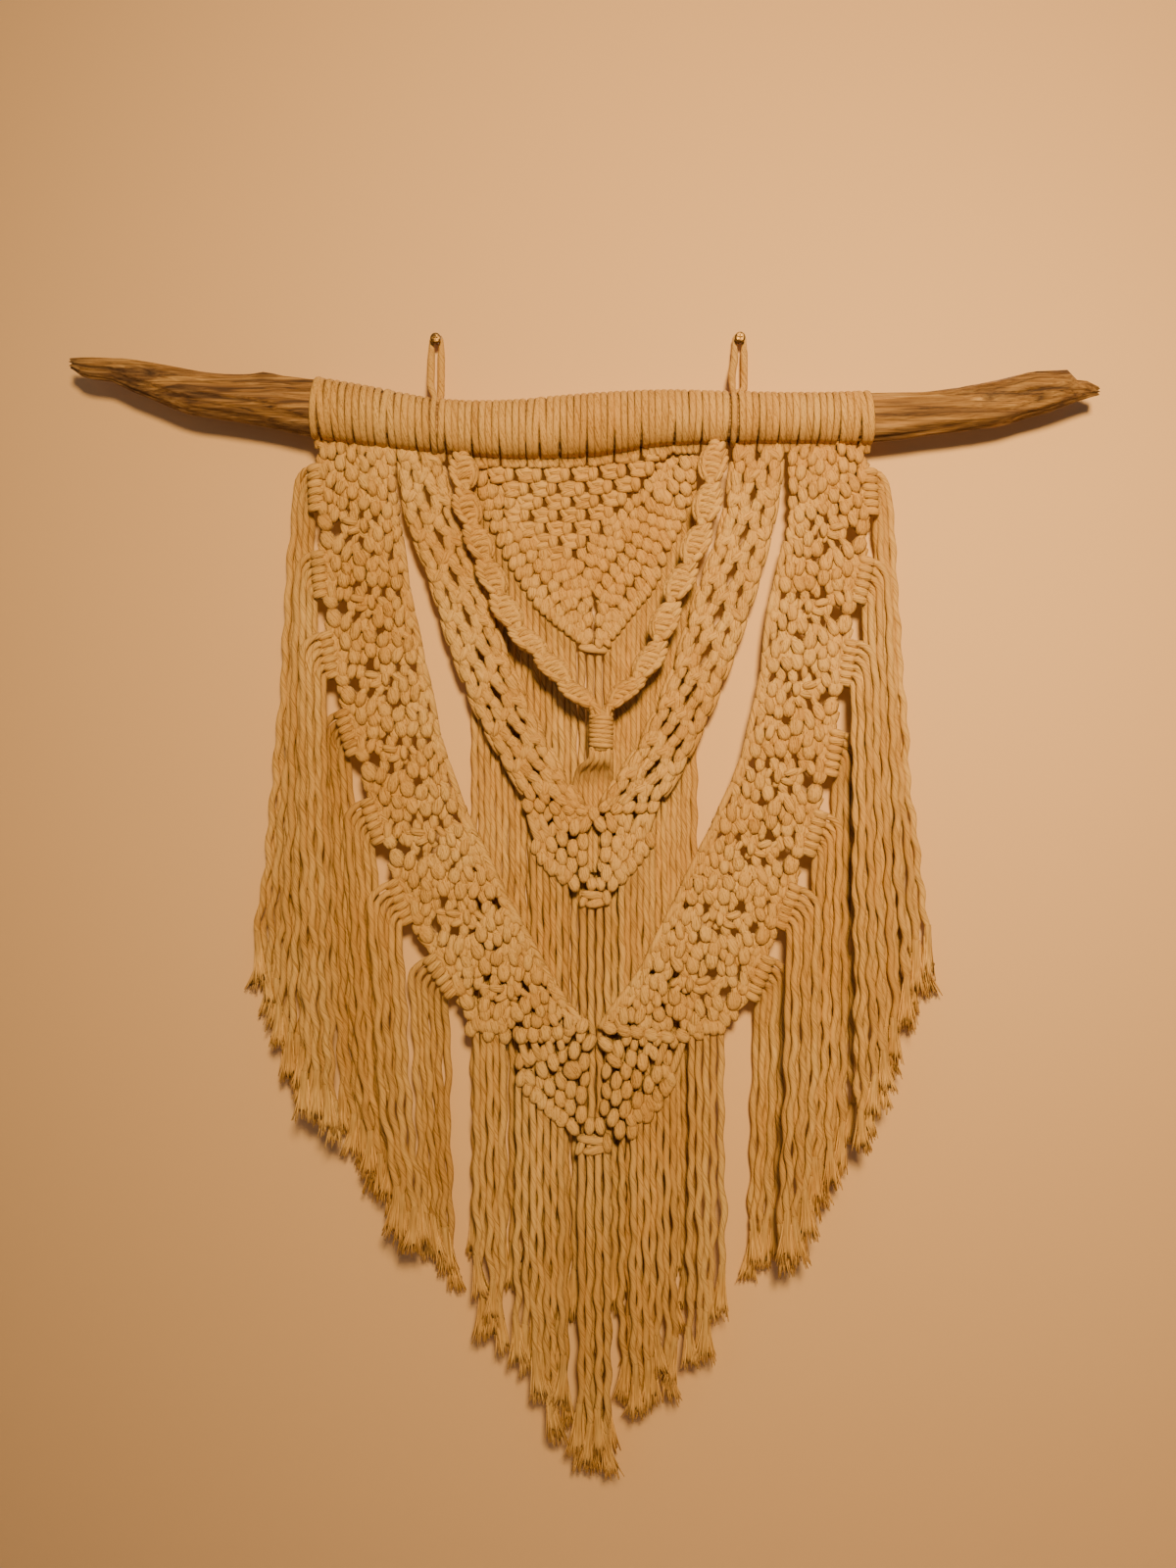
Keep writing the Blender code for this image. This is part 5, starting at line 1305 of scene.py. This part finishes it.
def edge_fringe(name, edge, count, knot_y, strand_y, shorter, seed, wave=1.0, inward=0.0):
    """Strands that leave the last row of hitches along a slanting edge. inward is the way in from
    the edge across the panel, as -1 or 1."""
    work = CordWork(seed)
    rng = work.rng
    ordered = edge if edge[-1][0] > edge[0][0] else edge[::-1]
    low = ordered[0][0] + 1.0 + min(inward, 0) * EDGE_PAST_POINT
    high = ordered[-1][0] - 1.0 + max(inward, 0) * EDGE_PAST_POINT
    for k in range(count):
        x = low + (high - low) * (k + 0.5) / count
        z = at_x(ordered, x)[0]
        tip = min(at_x(CONTOUR, x)[0] + rng.uniform(*shorter), z - 60.0)
        depth = strand_y + (0.8 if k % 2 else -0.8)
        tip_x = x + rng.uniform(-1.5, 1.5)
        route = [
            (x + inward * 4.0, knot_y + 3.0, z + 12.0),
            (x + inward * 1.4, knot_y + 0.4, z + 6.0),
            (x, knot_y * 0.8 + depth * 0.2, z - 1.0),
            (x, knot_y * 0.3 + depth * 0.7, z - 9.0),
            (x, depth, z - 26.0),
            ((x + tip_x) / 2, depth, (z + tip) / 2),
        ]
        hanging_strand(work, route, (tip_x, depth, tip), CORD_R, wave)
        top_z = z + 5.6 + rng.uniform(-0.4, 0.4)
        hitch(work, x + inward * 1.8, knot_y - 0.4, top_z, inward * 14, 8.2, 12.8, 9.8)
    work.make(name + "_strands", COTTON, name)


# Fringes under slanting edges: place, the left and the right table, which rows of it from, to and
# in how many parts, strands, depth of the knots and the strands, how far the strands end above the
# lower edge of the whole fringe, seed and how much they wave.
EDGE_FRINGES = (
    ("centre", CENTRE_PANEL, CENTRE_PANEL, (0.6, 5.9, 11),
     17, CENTRE_Y, CENTRE_STRAND_Y, (40.0, 130.0), 11, 0.8),
    ("inner", INNER_POINT_LEFT, INNER_POINT_RIGHT, (0.9, 2.9, 6),
     6, INNER_Y, INNER_STRAND_Y, (8.0, 55.0), 21, 1.0),
    ("outer", OUTER_POINT_LEFT, OUTER_POINT_RIGHT, (0.9, 2.9, 8),
     7, OUTER_Y, OUTER_STRAND_Y, (-4.0, 28.0), 31, 1.0),
)
EDGE_GAP = 3.5             # from a panel's edge to the knots under it
EDGE_PAST_POINT = 3.5      # how far a row of strands goes on past the point


def edge_fringes():
    for place, *tables, span, count, knot_y, strand_y, shorter, seed, wave in EDGE_FRINGES:
        for side, table, column, inward in zip(("left", "right"), tables, (0, 2), (1, -1)):
            route = under_edge(table, column, *span)
            name = "fringe_%s_%s" % (place, side)
            edge_fringe(name, route, count, knot_y, strand_y, shorter, seed + column, wave, inward)
    for side, band, tip, column, hand in (
        ("left", OUTER_BAND_LEFT, OUTER_POINT_LEFT, 0, -1),
        ("right", OUTER_BAND_RIGHT, OUTER_POINT_RIGHT, 2, 1),
    ):
        # along the lower edge of a band, from its outer corner to the point under the join
        left_x, left_z, right_x, right_z = band[-1]
        slope = (right_z - left_z) / (right_x - left_x)
        x0, z0 = band[-1][column:column + 2]
        x1 = tip[0][column] + hand * 4.5
        route = []
        for i in range(5):
            x = x0 - hand + (x1 - x0 + hand) * i / 4
            route.append((x, z0 + (x - x0) * slope - EDGE_GAP))
        edge_fringe("fringe_hem_" + side, route, 5, OUTER_Y, OUTER_STRAND_Y, (0.0, 30.0), 41 + column)


ONE_BAR_HEIGHT = 15.0      # a lower closing knot than this has one bar
# Closing knots: name, x and z, width, height, depth of the knot and depth of its strands.
CLOSING_KNOTS = (
    ("closing_knot_centre", 4.8, -228.9, 25.0, 12.0, -13.0, -5.5),
    ("closing_knot_inner", 5.4, -411.9, 23.0, 21.0, -19.0, -14.0),
    ("closing_knot_outer", 4.4, -591.2, 27.0, 26.0, -22.5, -21.5),
)


def small_closing_knot(width):
    """One bar and its three loops, round the knot's centre."""
    return (
        (-1.0, 0.0, -1.6, 96, 7.0, width * 0.92, 10.0, 0.3),
        (-6.5, 0.0, 4.0, 40, 6.4, 10.5, 10.0),
        (3.2, -0.6, 2.4, -6, 7.0, 10.5, 10.8),
        (9.0, 0.0, 3.4, -34, 6.4, 10.5, 10.0),
    )


def large_closing_knot(width, height):
    """Two bars, two loops over them and one on each side."""
    return (
        (-width * 0.12, -0.6, height * 0.36, 4, 8.2, height * 0.52, 10.8),
        (width * 0.16, -0.4, height * 0.36, -8, 8.2, height * 0.52, 10.8),
        (-1.5, 0.0, -height * 0.02, 98, 7.0, width * 0.86, 10.4, 0.3),
        (1.0, 0.0, -height * 0.30, 80, 7.0, width * 0.74, 10.4, 0.3),
        (width * 0.36, -0.8, -height * 0.12, -4, 7.2, height * 0.58, 11.0),
        (-width * 0.38, 0.0, -height * 0.24, 26, 6.2, height * 0.50, 9.6),
    )


def closing_knots():
    """The square knot that closes each point, and its four strands."""
    for name, x, z, width, height, y, strand_y in CLOSING_KNOTS:
        work = CordWork(int(-z))
        rng = work.rng
        small = height < ONE_BAR_HEIGHT
        hitches(work, x, y, z, small_closing_knot(width) if small else large_closing_knot(width, height))
        for k in range(4):
            strand_x = x + (k - 1.5) * 6.2
            tip = at_x(CONTOUR, strand_x)[0] + rng.uniform(-8.0, 22.0)
            tip_x = strand_x + rng.uniform(-1.5, 1.5)
            route = [
                (strand_x, y + 0.6, z - height * 0.15),
                (strand_x, (y + strand_y) / 2, z - height * 0.6),
                (strand_x, strand_y, z - height - 16.0),
                ((strand_x + tip_x) / 2, strand_y, (z + tip) / 2),
            ]
            hanging_strand(work, route, (tip_x, strand_y, tip), 2.6, 0.9)
        work.make(name + "_cords", COTTON, name)


# ---------------------------------------------------------------- hanging loops
# The side, x and z of its screw, and x of the loop where it goes round the branch.
LOOPS = (
    ("left", -113.0, 0.0, -112.0),
    ("right", 112.8, 0.7, 105.9),
)


def hanging_loop(side, screw_x, screw_z, ring_x):
    """A cord over the screw, down in front of the branch, round it and up behind it."""
    work = CordWork(70 + len(side))
    half, centre = branch_at(ring_x)
    top = centre + half
    over_screw = 3.6
    y_screw = -6.4
    arc = []
    for degrees in (90, 60, 30, 0):
        angle = math.radians(degrees)
        arc.append((over_screw * math.cos(angle), screw_z + over_screw * math.sin(angle)))
    route = [(screw_x - offset, y_screw, z, 1.7) for offset, z in arc]
    route.append((screw_x - 3.6, y_screw - 1.6, screw_z - 12.0, 2.7))
    route.append(((screw_x + ring_x) / 2 - 3.4, -20.0, top + 14.0, 2.8))
    for degrees in range(20, 341, 20):
        route.append((ring_x, *round_branch(ring_x, math.radians(degrees), 2.3), 2.2))
    route.append((screw_x + 3.4, -7.6, top + 9.0, 2.7))
    route.append((screw_x + 3.6, y_screw, screw_z - 12.0, 2.7))
    route += [(screw_x + offset, y_screw, z, 1.7) for offset, z in arc[:0:-1]]
    line = smooth_route(route + route[:1], 2.6)[:-1]
    work.cord(line[:, :3], line[:, 3], ring=True)
    name = "hanging_loop_" + side
    work.make(name + "_cord", COTTON, name)


# ---------------------------------------------------------------- the wood and the screws
def deselect():
    for item in bpy.context.selected_objects:
        item.select_set(False)


def select_only(piece):
    deselect()
    piece.select_set(True)
    bpy.context.view_layer.objects.active = piece


def apply_place():
    bpy.ops.object.transform_apply(location=True, rotation=True, scale=True)


def settle(piece, name, material, slot, *nodes):
    """Applies the place of a modelled piece, names it and sets it on the body."""
    select_only(piece)
    apply_place()
    piece.name = name
    piece.data.name = name
    piece.data.materials.clear()
    piece.data.materials.append(material)
    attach(piece, "root")
    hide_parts(*nodes)
    return piece


def value_noise(seed, x, step):
    """Smooth values along a line, one every step, between -1 and 1."""
    count = 400
    knots = np.random.default_rng(seed).uniform(-1.0, 1.0, count)
    place = np.asarray(x) / step + count / 2
    low = np.floor(place).astype(int)
    t = place - low
    t = t * t * (3 - 2 * t)
    return knots[low % count] * (1 - t) + knots[(low + 1) % count] * t


def hump(x, middle, width):
    """A smooth hump of height 1."""
    return np.exp(-(((x - middle) / width) ** 2))


def turn_between(angle, other):
    return (angle - other + math.pi) % (2 * math.pi) - math.pi


BRANCH_SIDES = 72
BRANCH_RINGS = 300
# Ridges round the branch: how many, their height, how far along they change, and a seed.
RIDGES = (
    (5, 0.8, 70.0, 1), (9, 0.8, 52.0, 2), (17, 0.6, 40.0, 3), (31, 0.42, 30.0, 4),
)
# Cracks: from and to along the branch, turn from its top over its front, width as a turn, depth.
CRACKS = (
    (255.0, 330.0, 0.9, 0.05, 1.9), (300.0, 356.0, 1.5, 0.09, 3.2), (215.0, 262.0, 1.9, 0.04, 1.2),
    (-345.0, -290.0, 1.0, 0.05, 1.6), (-300.0, -225.0, 1.7, 0.04, 1.4),
    (-262.0, -206.0, 0.8, 0.04, 1.2), (-382.0, -334.0, 1.7, 0.15, 3.4), (260.0, 345.0, 4.4, 0.05, 1.5),
    (-330.0, -240.0, 3.9, 0.05, 1.5),
)
# Knots and the bump of a lost twig: along the branch, turn, size, depth (less than 0 stands out).
WOOD_KNOTS = (
    (294.0, 1.35, 5.0, 2.6), (-235.0, 0.35, 6.0, -2.2), (-318.0, 1.2, 5.5, 1.4), (330.0, 1.9, 3.5, 1.4),
)


def branch_relief(spread, turned, half):
    """How far the wood stands out or in at each point, and how deep in a crack or knot it is."""
    relief = np.zeros(len(spread))
    hollow = np.zeros(len(spread))
    for lobes, size, step, seed in RIDGES:
        phase = 2.2 * value_noise(seed, spread, step)
        relief += size * np.sin(lobes * turned + phase) * (0.6 + 0.4 * value_noise(seed + 20, spread, step))
    for start, stop, at, width, deep in CRACKS:
        inside = np.clip((spread - start) / 12.0, 0, 1) * np.clip((stop - spread) / 12.0, 0, 1)
        path = at + 0.12 * value_noise(int(abs(start)), spread, 28.0)
        cut = inside * hump(np.abs(turn_between(turned, path)), 0.0, width)
        relief -= deep * cut
        # the crack's depth, which darkens it: its own darker wood and painted shade
        hollow = np.maximum(hollow, 0.85 * cut)
    for x, at, size, deep in WOOD_KNOTS:
        away = np.hypot(spread - x, turn_between(turned, at) * half)
        dip = hump(away, 0.0, size)
        relief += 0.5 * hump(away, size * 1.5, size * 0.4) - deep * dip
        # a sunk knot darkens by its depth too: its dark knot wood and painted shade
        if deep > 0:
            hollow = np.maximum(hollow, 0.9 * dip)
    # the splinter on top of the right end and the notch behind it
    on_top = np.clip(2.0 * np.cos(turned) - 0.7, 0, 1)
    relief += on_top * (1.6 * hump(spread, 354.0, 3.0) - 3.2 * hump(spread, 360.0, 2.0))
    return relief, hollow


def branch_stain_and_painted_shade(spread, turned, share):
    """How dark the wood is: a patch of bark, the ends and the bump, and painted shade on the underside and
    on the right arm, which the key light lights more brightly than the left.
    """
    patch = hump(spread, -335.0, 16.0) * np.clip(np.sin(turned - 0.6), 0, 1)
    darkening = patch * (0.6 + 0.4 * np.sin(9 * turned + spread / 6.0))
    ends = np.clip((np.abs(share - 0.5) - 0.478) / 0.02, 0, 1) * 0.45
    # painted shade on the underside, broken into streaks
    streaked = 0.8 + 0.2 * np.sin(5 * turned + spread / 9.0)
    below = 0.6 * np.clip((-np.cos(turned) - 0.30) / 0.45, 0, 1) * streaked
    bump = 0.6 * hump(spread, -235.0, 7.0) * np.clip(np.cos(turned) * 3.0 - 1.6, 0, 1)
    # painted shade on the right arm, where the key light falls more brightly
    right_arm = 0.3 * np.clip((spread - 200.0) / 30.0, 0, 1)
    return np.clip(np.maximum.reduce((darkening, ends, below, bump, right_arm)), 0, 1)


def ringed_rod(length, sides, rings):
    """A cylinder along X, cut into rings."""
    deselect()
    bpy.ops.mesh.primitive_cylinder_add(
        vertices=sides, radius=0.02, depth=length, end_fill_type="TRIFAN",
        location=(0.0, 0.0, 0.0), rotation=(0.0, math.pi / 2, 0.0),
    )
    rod = bpy.context.object
    apply_place()
    bpy.ops.object.mode_set(mode="EDIT")
    bpy.ops.mesh.select_all(action="DESELECT")
    shape = bmesh.from_edit_mesh(rod.data)
    for edge in shape.edges:
        a, b = edge.verts
        edge.select_set(abs(a.co.x - b.co.x) > 0.1)
    bmesh.update_edit_mesh(rod.data)
    bpy.ops.mesh.subdivide(number_cuts=rings)
    bpy.ops.object.mode_set(mode="OBJECT")
    return rod


def driftwood_branch():
    """A rod cut into fine rings, drawn to the branch's outline, ridged and cracked."""
    left, right = BRANCH[0][0], BRANCH[-1][0]
    piece = ringed_rod((right - left) * MM, BRANCH_SIDES, BRANCH_RINGS)
    mesh = piece.data
    count = len(mesh.vertices)
    co = np.empty(count * 3, np.float32)
    mesh.vertices.foreach_get("co", co)
    co = co.reshape(-1, 3) / MM
    share = (co[:, 0] - co[:, 0].min()) / (co[:, 0].max() - co[:, 0].min())
    spread = left + (right - left) * share
    top = np.interp(spread, BRANCH_SMOOTH[:, 0], BRANCH_SMOOTH[:, 1])
    bottom = np.interp(spread, BRANCH_SMOOTH[:, 0], BRANCH_SMOOTH[:, 2])
    half = np.maximum((top - bottom) / 2, 3.0)
    angle = np.arctan2(-co[:, 1], co[:, 2])
    reach = np.where(np.hypot(co[:, 1], co[:, 2]) < 1e-3, 0.0, 1.0)
    turned = angle + 0.10 * np.sin(spread / 95.0) + 0.05 * np.sin(spread / 31.0)
    relief, hollow = branch_relief(spread, turned, half)
    raised = (relief - 0.4) * np.clip(half / 10.0, 0.3, 1.0)
    y = BRANCH_Y - (half * BRANCH_DEPTH_RATIO + raised) * np.sin(angle) * reach
    z = (top + bottom) / 2 + (half + raised) * np.cos(angle) * reach
    ragged = np.clip((np.abs(share - 0.5) - 0.492) / 0.008, 0, 1)
    x = spread + ragged * 1.6 * np.sin(7 * angle + 1.0) * reach
    co = np.stack((x, y, z), axis=1) * MM
    mesh.vertices.foreach_set("co", co.astype(np.float32).ravel())
    # the second holds the bark patch, the ends and the bump, and painted shade on the underside and the
    # right arm
    for name, values in (("hollow", hollow), ("darkening", branch_stain_and_painted_shade(spread, turned, share))):
        layer = mesh.attributes.new(name, "FLOAT", "POINT")
        layer.data.foreach_set("value", values.astype(np.float32))
    mesh.polygons.foreach_set("use_smooth", np.ones(len(mesh.polygons), dtype=bool))
    mesh.update()
    settle(piece, "driftwood_branch_wood", DRIFTWOOD, "driftwood", "driftwood_branch")


def screw(side, x, z):
    """A pan head screw: a turned head with a cross cut in it, and its shank into the wall."""
    head_r, shank_r, neck, face = 3.9, 1.3, -11.5, -14.7
    deselect()
    bpy.ops.mesh.primitive_cylinder_add(
        vertices=32, radius=head_r * MM, depth=(neck - face) * MM,
        location=(x * MM, (neck + face) / 2 * MM, z * MM), rotation=(math.pi / 2, 0.0, 0.0),
    )
    head = bpy.context.object
    apply_place()
    bpy.ops.object.mode_set(mode="EDIT")
    bpy.ops.mesh.select_all(action="DESELECT")
    shape = bmesh.from_edit_mesh(head.data)
    shape.faces.ensure_lookup_table()
    for part in shape.faces:
        part.select_set(part.normal.y > 0.9)
    bmesh.update_edit_mesh(head.data)
    bpy.ops.mesh.inset(thickness=(head_r - shank_r) * MM, depth=0.0)
    bpy.ops.mesh.extrude_region_move(TRANSFORM_OT_translate={"value": (0.0, -neck * MM, 0.0)})
    bpy.ops.object.mode_set(mode="OBJECT")
    bevel = head.modifiers.new("rim", "BEVEL")
    bevel.width = 1.0 * MM
    bevel.segments = 3
    bevel.limit_method = "ANGLE"
    bevel.angle_limit = math.radians(60)
    bpy.ops.object.modifier_apply(modifier="rim")
    for wide, tall in ((3.6, 0.75), (0.75, 3.6)):
        deselect()
        bpy.ops.mesh.primitive_cube_add(size=1.0, location=(x * MM, face * MM, z * MM))
        slot_cutter = bpy.context.object
        slot_cutter.scale = (wide * MM, 2.4 * MM, tall * MM)
        apply_place()
        select_only(head)
        cut = head.modifiers.new("cross", "BOOLEAN")
        cut.operation = "DIFFERENCE"
        cut.solver = "EXACT"
        cut.object = slot_cutter
        bpy.ops.object.modifier_apply(modifier="cross")
        bpy.data.objects.remove(slot_cutter, do_unlink=True)
    select_only(head)
    bpy.ops.object.shade_smooth_by_angle(angle=math.radians(35))
    settle(head, "screw_%s_brass" % side, BRASS, "screw", "screw_" + side)


# ---------------------------------------------------------------- the whole hanging
driftwood_branch()
heading(
    "heading_left", left=-200.9, right=-115.2, count=17, slants={0: 1.6, 1: -1.2, 10: 1.6, 11: -1.0},
    group=15.1, first_group=-193.0, seed=3,
)
heading(
    "heading_centre", left=-108.8, right=102.5, count=43, slants={13: 1.2, 14: 1.6, 15: -0.8},
    group=20.7, first_group=9.1, seed=4,
)
heading(
    "heading_right", left=109.3, right=207.4, count=20, slants={18: -1.8, 19: -1.2},
    group=14.7, first_group=116.7, seed=5,
)
for loop_side, loop_x, loop_z, loop_ring in LOOPS:
    screw(loop_side, loop_x, loop_z)
    hanging_loop(loop_side, loop_x, loop_z, loop_ring)
outer_band("outer_band_left", OUTER_BAND_LEFT, hand=1, seed=21, join=OUTER_JOIN_LEFT)
outer_band("outer_band_right", OUTER_BAND_RIGHT, hand=-1, seed=22, join=OUTER_JOIN_RIGHT)
inner_band("inner_band_left", INNER_BAND_LEFT, seed=24, join=INNER_JOIN_LEFT)
inner_band("inner_band_right", INNER_BAND_RIGHT, seed=25, join=INNER_JOIN_RIGHT)
centre_panel()
point("inner_point_left", INNER_LEFT, INNER_LEGS_LEFT, INNER_Y, INNER_POINT_LEFT, INNER_SLIT)
point("inner_point_right", INNER_RIGHT, INNER_LEGS_RIGHT, INNER_Y, INNER_POINT_RIGHT, INNER_SLIT)
point(
    "outer_point_left", OUTER_LEFT, OUTER_LEGS_LEFT, OUTER_Y, OUTER_POINT_LEFT, OUTER_SLIT,
    big=(-11.3, -540.5),
)
point("outer_point_right", OUTER_RIGHT, OUTER_LEGS_RIGHT, OUTER_Y, OUTER_POINT_RIGHT, OUTER_SLIT)
spiral("spiral_left", SPIRAL_LEFT, hand=1, seed=51)
spiral("spiral_right", SPIRAL_RIGHT, hand=-1, seed=52)
gathering_knot()
for fringe_number in range(SIDE_FRINGES):
    side_fringe("left", OUTER_BAND_LEFT, -1, fringe_number)
    side_fringe("right", OUTER_BAND_RIGHT, 1, fringe_number)
edge_fringes()
closing_knots()


# ---------------------------------------------------------------- stage, light and camera
def plain_surface(name, colour, roughness):
    material, shader = new_material(name)
    finish = {"Base Color": linear(colour), "Roughness": roughness, "Specular IOR Level": 0.2}
    fit_node(material, shader, finish)
    return material, shader


def backdrop():
    """A pale wall just behind the hanging, seen from its front only, and a pale floor far below."""
    paint, shader = plain_surface("pale_wall_paint", "#CDAA82", 0.9)
    facing = add_node(paint, "ShaderNodeNewGeometry")
    clear = add_node(paint, "ShaderNodeBsdfTransparent")
    sources = {0: (facing, "Backfacing"), 1: (shader, "BSDF"), 2: (clear, "BSDF")}
    one_sided = add_node(paint, "ShaderNodeMixShader", links=sources)
    fit_node(paint, paint.node_tree.nodes["Material Output"], links={"Surface": (one_sided, "Shader")})
    deselect()
    bpy.ops.mesh.primitive_plane_add(size=6.0, location=(0.0, 0.0006, 0.0), rotation=(math.pi / 2, 0.0, 0.0))
    wall = bpy.context.object
    wall.name = "wall"
    wall.data.materials.append(paint)
    wall.visible_shadow = False
    deselect()
    bpy.ops.mesh.primitive_plane_add(size=12.0, location=(0.0, 0.0, -1.25))
    floor = bpy.context.object
    floor.name = "floor"
    floor.data.materials.append(plain_surface("pale_floor", "#EADCC8", 0.8)[0])


def area_light(name, place, target, size, watts, colour, spread=180.0):
    data = bpy.data.lights.new(name, "AREA")
    data.shape = "DISK"
    data.size = size
    data.energy = watts
    data.spread = math.radians(spread)
    data.color = linear(colour)[:3]
    item = bpy.data.objects.new(name, data)
    bpy.context.scene.collection.objects.link(item)
    item.location = place
    aim = Vector(target) - Vector(place)
    item.rotation_euler = aim.to_track_quat("-Z", "Y").to_euler()


def studio():
    area_light("key", (0.20, -2.0, 0.48), (0.26, 0.0, -0.15), 0.40, 14.6, "#FFD796", 66.0)
    area_light("fill", (-1.7, -1.8, 0.3), (0.0, 0.0, -0.25), 1.4, 3.5, "#FFDCA8")
    area_light("behind", (0.6, 1.9, 0.9), (0.0, 0.0, -0.35), 1.6, 48.0, "#FFF0DC")
    world = bpy.data.worlds.new("room")
    world.use_nodes = True
    sky = world.node_tree.nodes["Background"]
    sky.inputs["Color"].default_value = linear("#E6ECFF")
    sky.inputs["Strength"].default_value = 0.14
    bpy.context.scene.world = world


CAMERA_DISTANCE = 1.10      # from the wall
VIEW_LONG_SIDE = 1.152      # what the long side of the picture takes in, at the cloth's depth
CLOTH_DEPTH = 0.023
VIEW_CENTRE_Z = -0.3305


def camera():
    data = bpy.data.cameras.new("camera")
    data.sensor_fit = "AUTO"
    data.sensor_width = 36.0
    data.lens = 36.0 * (CAMERA_DISTANCE - CLOTH_DEPTH) / VIEW_LONG_SIDE
    item = bpy.data.objects.new("camera", data)
    bpy.context.scene.collection.objects.link(item)
    item.location = (0.0, -CAMERA_DISTANCE, VIEW_CENTRE_Z)
    item.rotation_euler = (math.pi / 2, 0.0, 0.0)
    bpy.context.scene.camera = item


backdrop()
studio()
camera()
